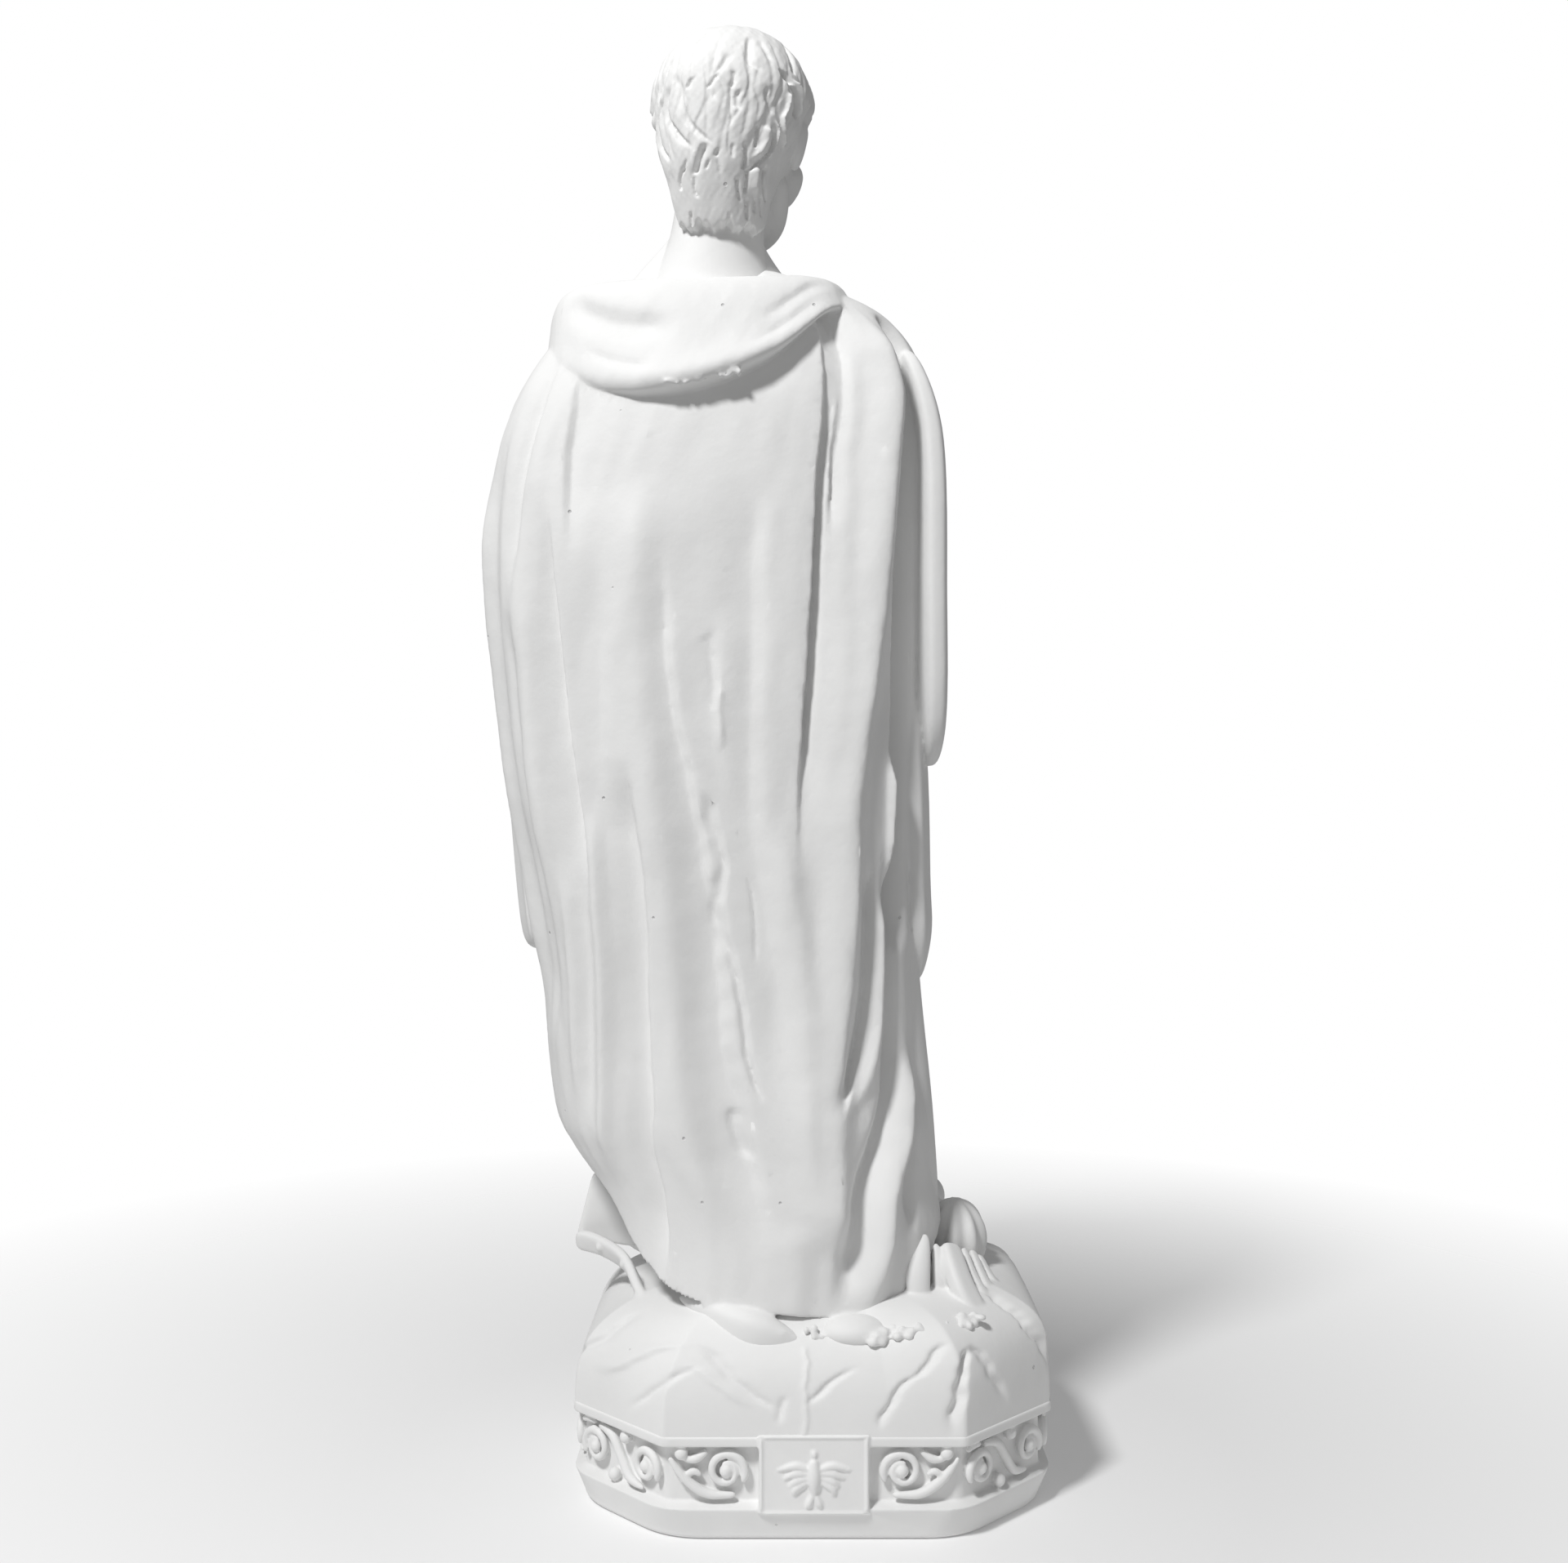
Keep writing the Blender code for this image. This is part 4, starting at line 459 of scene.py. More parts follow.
# Armour and tunic. Rows of the torso are (height, middle x, middle y, half width, half depth), and those of
# the tunic have no middle y.
body = {
    "rows": [
        (140, 20, -5, 27, 17), (165, 21, -5, 25, 17), (178, 22, -5, 24, 16.5), (198, 24, -6, 27, 18),
        (220, 25.5, -7, 31, 19.5), (238, 26, -6, 33, 18), (250, 26, -4, 30, 15), (260, 25.5, -2, 20, 12),
        (270, 25, 0, 13, 11.5),
    ],
    "muscles": [
        ([(180, 250), (180, 215), (180, 176)], -1.6, 2, 2),
        ([(154, 242), (148, 225), (158, 213)], 2.2, 12, 12),
        ([(206, 242), (212, 225), (202, 213)], 2.2, 12, 12), ([(168, 208), (168, 180)], 1.4, 6, 6),
        ([(192, 208), (192, 180)], 1.4, 6, 6), ([(140, 216), (160, 211), (178, 209)], -1.2, 5, 5),
        ([(220, 216), (200, 211), (182, 209)], -1.2, 5, 5),
    ],
    "tunic": [(172, 21, 25, 17), (150, 20.5, 27, 18.5), (128, 19.5, 30, 20), (106, 18.5, 32, 21.5)],
    "straps": 11, "strapStep": 15.5, "tunicWaves": 13,
    "belt": {"middle": (21.5, -5, 170), "halfWide": 26.0, "halfDeep": 18.2, "thick": 1.5, "halfHigh": 3.4},
}


def torsoPlace(t, s):
    row = through(body["rows"], s)
    push = relief(body["muscles"], t * 360, row[..., 0])
    x, y = oval(t * 2 * np.pi, row[..., 3] + push * 0.3, row[..., 4] + push, 2.3)
    return toWorld(row[..., 1] + x, row[..., 2] + y, row[..., 0])


def beltPlace(t, s):
    belt = body["belt"]
    turn, section = s * 2 * np.pi, t * 2 * np.pi
    out = belt["thick"] * np.cos(section)
    x, y = oval(turn, belt["halfWide"] + out, belt["halfDeep"] + out, 2.3)
    middle = belt["middle"]
    return toWorld(middle[0] + x, middle[1] + y, middle[2] + belt["halfHigh"] * np.sin(section))


def tunicPlace(t, s):
    row = through(body["tunic"], s)
    turn = t * 2 * np.pi
    wave = np.sin(turn * body["tunicWaves"]) * (0.3 + 1.3 * s)
    x, y = oval(turn, row[..., 2] + wave, row[..., 3] + wave, 2.2)
    return toWorld(row[..., 1] + x, -6 + y, row[..., 0])


def makeBody():
    rollGrid("cuirass", 200, 160, torsoPlace)
    rollGrid("belt", 24, 160, beltPlace)
    rollGrid("tunic", 260, 60, tunicPlace)
    ball("buckle", (21.5, -24, 170), (4.2, 2, 4.2))
    for i in range(body["straps"]):
        turn = math.radians(180 + (i - (body["straps"] - 1) / 2) * body["strapStep"])
        x0, y0 = oval(np.array(turn), 26.5, 19.0, 2.3)
        x1, y1 = oval(np.array(turn), 31.0, 22.5, 2.3)
        limb(f"strap{i}", [(21 + x0, -5.5 + y0, 171), (20.5 + x1 * 0.95, -6 + y1 * 0.95, 150),
                           (20 + x1, -6 + y1, 132)], [3.5, 3.7, 3.6], 1.0, 0.42,
             (math.cos(turn), -math.sin(turn), 0), 20, 30, 8)
        ball(f"strapStud{i}", (20 + x1 * 1.01, -6 + y1 * 1.04, 137), (1.1, 1.1, 1.1), 12, 10)


# Arms, hands and what they hold
arms = {
    "leftUpperArm": ([(58, 0, 246), (70, -2, 224), (76, -4, 194)], [13, 12.5, 11], (1, 0, 0)),
    "leftForearm": ([(76, -2, 192), (73, -20, 187), (62, -37, 190), (56, -42, 193)],
                    [10.5, 9.5, 7, 6.2], (0, 0, 1)),
    "rightUpperArm": ([(-6, 0, 246), (-16, -3, 224), (-20, -6, 196)], [13, 12.5, 11], (1, 0, 0)),
    "rightForearm": ([(-20, -5, 194), (-19, -22, 196), (-10, -38, 206), (-5, -42, 212)],
                     [10.5, 9.5, 7, 6.2], (0, 0, 1)),
}


def makeHand(name, middle, knuckles, fingersUp):
    middle = Vector(middle)
    across = Vector(knuckles).normalized()
    up = Vector(fingersUp).normalized()
    out = across.cross(up).normalized()
    out = out if out.y < 0 else -out
    ball(f"{name}Palm", middle, (7.2, 5.4, 7.4))
    for i in range(4):
        root = middle + up * (5.6 - 3.9 * i) + across * 4.5 + out * 1.5
        knuckle = root - across * 3 + out * 5.2
        tip = root - across * 9.5 + out * 3.4
        limb(f"{name}Finger{i}", [root, knuckle, tip], [2.3, 2.4, 1.9], side=tuple(up), blunt=5)
    root = middle + up * 5.0 - across * 3.0
    limb(f"{name}Thumb", [root, root + up * 2.5 + out * 4, root + up * 1.0 + out * 7 + across * 4],
         [2.8, 2.6, 2.1], blunt=5)


def makeArms():
    for name, (spine, radii, side) in arms.items():
        limb(name, spine, radii, side=side, around=40, up=50)
    makeHand("left", (51, -45, 197), (0.85, 0.25, -0.1), (-0.45, -0.35, 0.8))
    makeHand("right", (-1, -45, 218), (-0.85, 0.25, -0.1), (0.45, -0.35, 0.8))
    bar = [2.6, 2.6, 2.6]
    limb("crossPost", [(-3, -51, 196), (-3, -51, 240), (-3, -51, 262)], bar, 1, 0.8, blunt=16)
    limb("crossArm", [(-15, -51, 247), (-3, -51, 247), (9, -51, 247)], bar, 1, 0.8, (0, 0, 1), blunt=16)
    limb("crossRest", [(-3, -48, 252), (1, -34, 248), (5, -22, 244)], [2.2, 3.2, 4])
    makePalm()


palm = {
    "rib": [(49, -50, 178), (52, -47, 208), (56, -38, 236), (60, -28, 256)], "radii": [1.6, 1.7, 1.6, 1.0],
    "leaves": 9, "firstLeaf": 0.36, "leafStep": 0.07, "leafLength": 13.0, "shorter": 0.45,
}


def makePalm():
    rib = np.array(palm["rib"], float)
    limb("palmRib", rib, palm["radii"], up=60)
    for i in range(palm["leaves"]):
        foot = through(rib, np.array(palm["firstLeaf"] + palm["leafStep"] * i))
        reach = palm["leafLength"] * (1 - palm["shorter"] * i / (palm["leaves"] - 1))
        for hand in (1, -1):
            tip = foot + np.array([hand * reach * 0.72, 3.0, reach])
            middle = foot + np.array([hand * reach * 0.5, 0.5, reach * 0.4])
            limb(f"palmLeaf{i}{hand + 1}", [foot, middle, tip], [1.5, 1.9, 0.7], 1.0, 0.6,
                 around=16, up=24, blunt=5)


# Legs, boots and the cuffs of the boots
legs = {
    "left": {"leg": [(30, -8, 122), (28, -11, 92), (26, -7, 62), (24, -7, 34), (24, -6, 8)],
             "ankle": (24, -4, 5), "toe": (29, -37, 3.4), "lean": 0.0},
    "right": {"leg": [(9, -9, 122), (2, -19, 94), (-6, -14, 66), (-11, -13, 42), (-14, -12, 20)],
              "ankle": (-14, -9, 18), "toe": (-19, -43, 12), "lean": 2.5},
}
cuff = {"above": 36.0, "forward": 3, "radius": 10.6, "thick": 1.7, "halfHigh": 3.2}


def makeLegs():
    for name, leg in legs.items():
        limb(f"{name}Leg", leg["leg"], [13.5, 10.5, 10.8, 8, 6.8], around=44, up=80)
        ankle, toe = np.array(leg["ankle"], float), np.array(leg["toe"], float)
        limb(f"{name}Foot", [ankle + (0, 5, 0), ankle * 0.45 + toe * 0.55 + (0, 0, 1.5), toe],
             [7, 7.2, 6.2], 1.0, 0.8, around=40, up=40, blunt=4)
        limb(f"{name}Sole", [ankle + (0, 6, -4.6), toe + (0, -1, -2.6)], [7.6, 7.8], 1.0, 0.3, around=32)
        top = ankle + (leg["lean"], -1.0, cuff["above"])

        def cuffPlace(t, s, top=top):
            turn, section = s * 2 * np.pi, t * 2 * np.pi
            out = cuff["radius"] + cuff["thick"] * np.cos(section)
            return toWorld(top[0] + out * np.sin(turn), top[1] - cuff["forward"] + out * np.cos(turn),
                           top[2] + cuff["halfHigh"] * np.sin(section))

        rollGrid(f"{name}BootCuff", 20, 60, cuffPlace)


# Head. Its place and turn suit the figure seen from behind, and the face is a plain calm one.
head = {"middle": (21.3, -3.0, 311.0), "turn": math.radians(-12)}


def headPoint(x, y, z):
    turn, middle = head["turn"], head["middle"]
    turnedX = x * math.cos(turn) - y * math.sin(turn)
    turnedY = x * math.sin(turn) + y * math.cos(turn)
    return (middle[0] + turnedX, middle[1] + turnedY, middle[2] + z)


def headLimb(name, points, radii, *shape, hand=1, **more):
    limb(name, [headPoint(hand * x, y, z) for x, y, z in points], radii, *shape, **more)


def makeHead():
    upright = {"side": (0, 0, 1), "blunt": 4}
    limb("neck", [(27, -3, 244), (27.5, -1, 260), (27.2, 0, 271), (26.2, 1, 283), (24.5, 1, 298)],
         [22, 20.5, 17, 13.2, 12.6], 1.0, 0.82, around=120, up=110, blunt=14)
    limb("neckFlare", [(27, -3, 244), (27.5, -2, 260), (27.2, -1, 271), (26.2, 0, 283), (25.4, 0, 290)],
         [36, 32, 23, 13.4, 11], 1.0, 0.4, around=120, up=110, blunt=14)
    side = tuple(np.array(headPoint(1, 0, 0)) - np.array(head["middle"]))
    ball("skull", headPoint(0, 2.5, 5.5), (19.5, 22, 22), 80, 60)
    headLimb("face", [(0, -5, 12), (0, -6.5, -5), (0, -8.5, -19), (0, -9, -25)],
             [17.5, 15.6, 11.6, 7.6], 0.95, 0.86, side, 70, 70, 4)
    headLimb("jaw", [(-12.4, 1, -9), (-7.5, -10, -19), (0, -14.5, -21.5), (7.5, -10, -19), (12.4, 1, -9)],
             [4.6, 4.6, 4.6, 4.6, 4.6], side=(0, 0, 1), around=40, up=70)
    headLimb("nose", [(0, -19.0, 3.5), (0, -21.6, -2.5), (0, -24.2, -7.5)],
             [2.0, 2.2, 2.9], 1.0, 1.0, side, 24, 24, 4)
    headLimb("noseTip", [(-3.6, -20.3, -8.3), (0, -23.0, -8.4), (3.6, -20.3, -8.3)],
             [1.7, 2.4, 1.7], **upright)
    for hand in (-1, 1):
        headLimb(f"brow{hand + 1}", [(2.5, -19.4, 3.0), (8, -19.2, 5.2), (14, -13.6, 3.2)],
                 [1.8, 2.2, 1.8], hand=hand, **upright)
        ball(f"eye{hand + 1}", headPoint(hand * 7.2, -16.0, -0.6), (3.9, 3.6, 3.2))
        headLimb(f"upperLid{hand + 1}", [(3.4, -18.2, -0.8), (7.2, -19.9, 1.4), (11.2, -17.0, -0.4)],
                 [0.7, 1.0, 0.7], hand=hand, **upright)
        headLimb(f"lowerLid{hand + 1}", [(3.6, -18.1, -1.4), (7.2, -19.2, -3.0), (11.0, -16.9, -1.4)],
                 [0.6, 0.8, 0.6], hand=hand, **upright)
        headLimb(f"cheek{hand + 1}", [(14, -9, -3), (10.5, -13.0, -7), (8, -12.5, -13)], [5, 5.6, 4.5],
                 hand=hand, blunt=4)
        headLimb(f"ear{hand + 1}", [(17.8, 1.0, 3), (19.2, 3.2, 1.5), (18.8, 3.4, -3.5), (17.0, 0.5, -8)],
                 [1.6, 2.4, 2.0, 1.6], 1.5, 1.0, (0, 1, 0), 24, 32, 4, hand=hand)
    headLimb("upperLip", [(-5.2, -17.4, -14.4), (-1.6, -19.9, -13.2), (1.6, -19.9, -13.2),
                          (5.2, -17.4, -14.4)], [0.9, 1.5, 1.5, 0.9], **upright)
    headLimb("lowerLip", [(-4.4, -17.5, -15.4), (0, -19.8, -16.6), (4.4, -17.5, -15.4)],
             [0.9, 1.9, 0.9], **upright)
    ball("chin", headPoint(0, -15.4, -21.8), (5.0, 4.2, 4.0))
    makeHair()


# Hair. Rows and strokes are like the cloak's, with heights from the middle of the head. The hairline is
# (height, degrees that the hair covers on each side of the back of the head).
hair = {
    "rows": [
        (-29.8, 37.6, 14.0, 12.0), (-27.8, 38.8, 12.8, 14.8), (-21, 40.6, 11.4, 18.0),
        (-16, 41.8, 9.8, 20.0), (-11, 43.2, 8.0, 21.8), (-2.4, 44.5, 3.0, 23.4), (2, 44.8, 1.6, 24.0),
        (7.5, 44.8, -0.6, 24.4),
    ],
    "crown": 7.5, "crownHeight": 22.4, "middleY": 2.0, "square": 2.15, "front": 0.95,
    "nape": 28.0, "tuck": 4.5,
    "hairline": [(-29, 66), (-12, 74), (-2, 84), (5, 92), (9, 112), (15, 130), (20, 150), (24, 190)],
    "strokes": [
        ([(39, 12), (31, 3.5), (24, -2.5), (2, -9)], -0.8, 4, 1.6, 3),
        ([(44, 9), (47, 3.5), (41, -2), (20, -9.5)], -1.2, 4, 1.4, 3),
        ([(51, 7), (60, 1), (57, -5.5), (44, -11.5)], -1.2, 2.4, 1.6, 3),
        ([(68, 2), (70, -6), (64, -12)], -1.1, 3, 2, 3), ([(60, 12), (68, 6), (80, 1)], -0.8, 3, 3, 3),
        ([(19, 9.6), (25, 9.0), (29, 6)], -0.8, 1.0, 2.4, 1),
        ([(6, 10), (10, 7.5), (14, 5.5)], -0.9, 1.0, 1.6, 1),
        ([(1, 16), (2, 14), (5, 11.5), (10, 9)], -0.7, 1.4, 3, 2),
        ([(-3, 10.5), (-3.4, 8), (-2, 5.5)], -0.8, 1.6, 1, 1),
        ([(-9, 5.5), (-7.6, 3), (-10, 0)], -1.0, 3.4, 1.0, 1.4),
        ([(-26, 7), (-28, 3.5), (-37, 0)], -0.8, 1.4, 1.4, 1.6),
        ([(-15, 22), (-12, 14), (-21, 10.5)], -0.9, 1.6, 3.4, 2),
        ([(-24, 21), (-30, 14)], -0.8, 3, 1.4, 2), ([(0, 7), (-4, 1), (-6, -4)], -0.6, 1.2, 1.2, 2),
        ([(9, 6), (7, 2)], -0.5, 1.2, 1.2, 2), ([(10, -8), (14, -12), (19, -16)], -1.9, 2.6, 3.4, 1.6),
        ([(5, -12), (9, -15)], -0.9, 1.2, 1.2, 1), ([(-1, -9.5), (0, -12)], -0.9, 1.2, 1.2, 1),
        ([(-10, -8), (-14, -12)], -1.0, 1.2, 1.4, 1),
        ([(-20, -7.5), (-25, -12), (-23, -14.5)], -1.7, 1.0, 1.6, 1.2),
        ([(-24, -2.5), (-29, -6), (-31, -9)], -1.4, 1, 2, 1.2),
        ([(-32, -2.5), (-38, -7), (-33, -12)], 1.5, 3.4, 4.4, 2),
        ([(-39, -3), (-45, -6), (-45, -9.5), (-30, -14.5)], -2.6, 1.4, 1.6, 1),
        ([(-39, -1), (-45, -3.5), (-49, -7), (-50, -10)], 1.3, 1.2, 1.4, 1.4),
        ([(-39, -12.5), (-40, -16), (-43, -20)], 1.5, 5, 4.5, 2),
        ([(-29, -13.5), (-30, -17), (-31, -20)], -2.4, 1.2, 1.4, 1),
        ([(-50, -11.5), (-49, -15), (-56, -18), (-64, -20)], -2.6, 1.2, 3, 1.4),
        ([(-19, -16), (-22, -19), (-26, -22)], -1.6, 1.2, 1.6, 1),
        ([(31, -13), (37, -16.5), (37, -19)], -1.2, 1.2, 2, 1),
        ([(25, -11.5), (32, -15)], -1.0, 1.6, 1.2, 1),
        ([(19, -15.5), (20, -19), (17, -21.5)], -1.2, 1.4, 1.4, 1),
        ([(29, -24), (31, -28)], -1.4, 1.2, 2, 0.7), ([(20, -26), (22, -29)], -1.2, 1.2, 1.2, 0.7),
        ([(12, -26.5), (13, -29.5)], -1.3, 1.2, 1.2, 0.7),
        ([(-14, -24.5), (-13, -29)], -1.1, 1, 1.4, 0.7),
        ([(-33, -20.5), (-37, -26)], -1.9, 1.2, 2.2, 0.7),
        ([(-45, -20), (-46, -24)], -1.6, 1.4, 1.4, 0.7), ([(-53, -19), (-60, -24)], -1.7, 1.6, 1.8, 0.7),
        ([(-46, 9), (-55, 5.5), (-60, 1.5)], -2.4, 2, 2.4, 1.4),
        ([(-47, 11), (-56, 8), (-66, 2.5)], 1.5, 1.6, 1.6, 1.6),
        ([(-45, 7), (-47, 2.5), (-46, -0.5), (-52, -4), (-62, -6.5)], 1.6, 1.6, 1.6, 1.4),
        ([(-63, 24), (-54, 17), (-52, 12)], -1.5, 3, 2, 2),
        ([(-37, 12.5), (-42, 10.5), (-45, 9)], -2.0, 2.4, 3, 0.8),
        ([(74, 19), (72, 12), (86, 8)], -0.7, 2, 3, 2), ([(47, 17), (53, 12), (60, 6)], -0.6, 2, 3, 2),
        ([(14, 25), (22, 21.5), (34, 17)], -0.5, 3, 4, 1.6),
    ],
}


# Locks at the sides and front sweep forward in even waves.
def sideLocks():
    strokes = []
    for i in range(9):
        for hand, first in ((1, 84), (-1, 74)):
            start = hand * (first + 12.5 * i)
            lean = hand * 9
            groove = [(start, 23), (start + lean, 12), (start + lean * 0.4, 3), (start + lean * 1.6, -9)]
            strokes.append((groove, -1.0, 2.0 + i % 3, 2.4 + (i + 1) % 3, 4))
            ridge = [(start + hand * 6, 18), (start + lean + hand * 7, 8), (start + hand * 6, -3)]
            strokes.append((ridge, 0.7, 2.4, 2.8, 4))
    return strokes


# Fine lines that flow down from the crown over the back of the head
def crownLocks():
    strokes = []
    for i in range(24):
        start, top, foot = -72 + 6.4 * i, 22 - 4 * (i % 3), -4 - 5 * (i % 4)
        sway = 5 * math.sin(i * 1.7)
        path = [(start, top), (start + sway, top * 0.6 + foot * 0.4),
                (start - sway * 0.7, top * 0.3 + foot * 0.7), (start + sway * 0.6 - 3, foot)]
        strokes.append((path, -0.34, 0.8 + 0.5 * (i % 2), 2.2, 5))
    return strokes


def hairPlace(t, s):
    turn = t * 2 * np.pi
    rise = np.clip((s - 0.5) / 0.5, 0, 1) * np.pi / 2
    rows = through(hair["rows"], np.linspace(0, 1, 80))
    low = rows[0, 0]
    z = np.where(s < 0.5, low + (hair["crown"] - low) * s / 0.5,
                 hair["crown"] + hair["crownHeight"] * np.sin(rise))
    left, right, back = readRows(rows, z)
    shrink = np.clip(np.cos(rise), 0, 1)
    degrees = fromBack(turn)
    locks = relief(hair["strokes"] + sideLocks() + crownLocks(), degrees, z, 0.35)
    locks = locks + 0.16 * uneven(degrees * 0.45, z * 0.8, z, 4) + 0.08 * uneven(degrees, z * 2, z, 2)
    fromFace = np.abs(degrees - 180 - math.degrees(head["turn"]))
    fromFace = np.minimum(fromFace, 360 - fromFace)
    heights, limits = np.array(hair["hairline"], float).T
    cover = ease((fromFace - (180 - np.interp(z, heights, limits))) / 10 + 0.5)
    aboveNape = z + hair["nape"] + 0.9 * np.sin(degrees * 0.21 + 1) + 0.5 * np.sin(degrees * 0.53)
    cover = cover * ease(aboveNape / 2.2 + 0.5)
    push = locks * np.sqrt(np.clip(shrink, 0.02, 1)) * cover - hair["tuck"] * (1 - cover)
    halfWide = (left - right) / 2 * shrink + push * shrink
    halfDeep = (back - hair["middleY"]) * shrink + push * shrink
    x, y = oval(turn, halfWide, halfDeep, hair["square"])
    y = np.where(np.cos(turn) < 0, y * hair["front"], y)
    top = z + push * np.sin(rise)
    middle = head["middle"]
    return toWorld((left + right) / 2 + x, hair["middleY"] + y, middle[2] + top)


def makeHair():
    rollGrid("hairShell", 620, 420, hairPlace)
    for i in range(7):
        turn = math.radians(180 + (i - 3) * 17)
        points = [headPoint(17 * math.sin(turn), 17 * math.cos(turn), 19),
                  headPoint(19.5 * math.sin(turn + 0.1), 19.8 * math.cos(turn + 0.1), 14.5),
                  headPoint(18.6 * math.sin(turn + 0.22), 18.8 * math.cos(turn + 0.22), 9.5)]
        limb(f"forelock{i}", points, [2.4, 3.0, 1.6], 1.2, 0.8, (math.cos(turn), -math.sin(turn), 0),
             20, 30, 4)


# Helmet beside the left foot: a bowl with a comb, a neck guard and a studded chin band
helmet = {
    "middle": (44.0, -18.0, 12.0),
    "studs": ((58.8, 1.8, 2.2), (51.4, 9.8, -0.2), (46.6, 18.6, -6.0)),
}


def makeHelmet():
    middle = np.array(helmet["middle"])
    ball("helmetBowl", middle, (14.5, 17, 17), 70, 50)
    comb = [middle + (0, -18, 2), middle + (0, -8, 18), middle + (0, 6, 18), middle + (0, 16, 4)]
    limb("helmetComb", comb, [2.2, 3, 3, 2.2], up=60)
    limb("neckGuard", [(54.5, -8, 20.5), (56, -7, 10), (57.5, -6.5, 1.5)], [7.3, 8.4, 9.0],
         1.0, 0.2, (1, 0, 0), 50, 60, 16, 5)
    limb("guardRim", [(61.2, -7.4, 20), (63.8, -6.8, 9), (65.8, -6.2, 1.5)], [1.0, 1.0, 1.0], blunt=10)
    band = [(66.1, -4, 3.0), (58.8, 0, 2.2), (51.0, 8, -0.3), (45.9, 17, -6.4), (42.6, 24, -9)]
    limb("helmetBand", band, [3.0, 2.9, 2.9, 2.9, 2.9], 1.0, 0.5, (0.45, 0, 0.9), 50, 110, 12, 3.4)
    for i, centre in enumerate(helmet["studs"]):
        ball(f"stud{i}", centre, (1.3, 1.1, 1.3), 20, 14)


# Crow under the right foot
crow = {
    "wing": [((-36.5, 20, 8), (-44.5, 33, -9), 3.1), ((-41.0, 16, 6), (-49.0, 27, -7.5), 1.1),
             ((-43.6, 13, 4.5), (-51.5, 24, -8), 1.3), ((-46.0, 9, 2), (-54.0, 18, -7), 1.2)],
    "tail": [([(-30.0, 24, 12), (-27.6, 29, 3), (-28.6, 31, -6.5)], [1.8, 3.4, 2.2]),
             ([(-33, 22, 9), (-33.4, 26, 2), (-33, 28, -6)], [1.2, 1.7, 1.3])],
}


def makeCrow():
    ball("crowBody", (-30, -26, 2), (13, 17, 9), 60, 40)
    limb("crowNeck", [(-30, -34, 4), (-35, -42, 6), (-38, -46, 7)], [7, 6, 5.5])
    limb("crowBeak", [(-38, -48, 7), (-41, -54, 6.5), (-43, -60, 5)], [3.4, 2.4, 0.9])

    def ribbed(points, unit):
        ribs = 0.7 * np.sin(np.arctan2(unit[..., 0], unit[..., 1]) * 9)
        return points + unit * np.array([1, 1, 0]) * ribs[..., None]

    ball("crowFlank", (-36.5, 22, 1), (4, 6, 7))
    ball("crowShoulder", (-40.5, 0, 5), (8.2, 12, 10.4), 120, 50, ribbed)
    for i, (top, foot, width) in enumerate(crow["wing"]):
        top, foot = np.array(top, float), np.array(foot, float)
        limb(f"wingFeather{i}", [top, top * 0.5 + foot * 0.5 + (1.2, 2, 0), foot],
             [width, width * 1.1, width * 0.9], 1.0, 0.7, (1, 0, 0.8), 30, 50, 10, 3.4)
    for i, (spine, radii) in enumerate(crow["tail"]):
        limb(f"tailFeather{i}", spine, radii, 1, 0.6, around=30, up=40, blunt=4)


# Mound. Lengths are in metres; cracks are strokes along (degrees, hundredths of the way up) paths.
mound = {
    "foot": 0.0265, "height": 0.0310, "sink": 0.0018, "square": 2.9, "squareRight": 5.0, "inset": 0.0004,
    "rim": 0.12, "lumps": 0.0007,
    "cracks": [
        ([(58, 54), (63, 34), (79, 10)], -1.0, 1.0, 2.2, 8),
        ([(33, 46), (44, 37), (58, 20)], 1.0, 4, 1.6, 7),
        ([(29, 36), (37, 26), (47, 12)], -1.0, 1.4, 1.0, 7),
        ([(32, 45), (22, 28), (9, 14)], -1.0, 1.2, 2.6, 7),
        ([(33, 37), (25, 26), (15, 16)], 0.6, 1.6, 1.2, 6),
        ([(-14, 35), (-6, 28), (3, 17)], -1.2, 1.2, 1.0, 6),
        ([(2.4, 46), (2.0, 28), (2.6, 6)], 0.45, 0.9, 0.4, 4),
        ([(8, 22), (9, 15), (11, 12)], -0.7, 1, 1, 3),
        ([(-34, 43), (-29, 30), (-23, 25), (-17, 11)], -1.5, 1.0, 1.0, 5),
        ([(-39, 37), (-36, 22), (-33, 10)], -2.6, 1.4, 0.8, 5),
        ([(-41, 38), (-46, 20), (-51, 11)], -1.2, 1.4, 1.0, 5),
        ([(-60, 66), (-61, 32), (-67, 11)], -1.5, 0.8, 1.8, 10),
        ([(112, 60), (106, 30), (104, 4)], -1.2, 1.2, 2, 10),
        ([(132, 60), (136, 30), (140, 4)], -1.4, 1.2, 2, 10),
        ([(160, 50), (155, 30), (158, 4)], -1.2, 1.2, 2, 10),
        ([(-170, 50), (-174, 30), (-168, 4)], -1.2, 1.2, 2, 10),
        ([(-142, 60), (-146, 30), (-140, 4)], -1.4, 1.2, 2, 10),
        ([(-108, 60), (-112, 30), (-116, 4)], -1.2, 1.2, 2, 10),
    ],
}
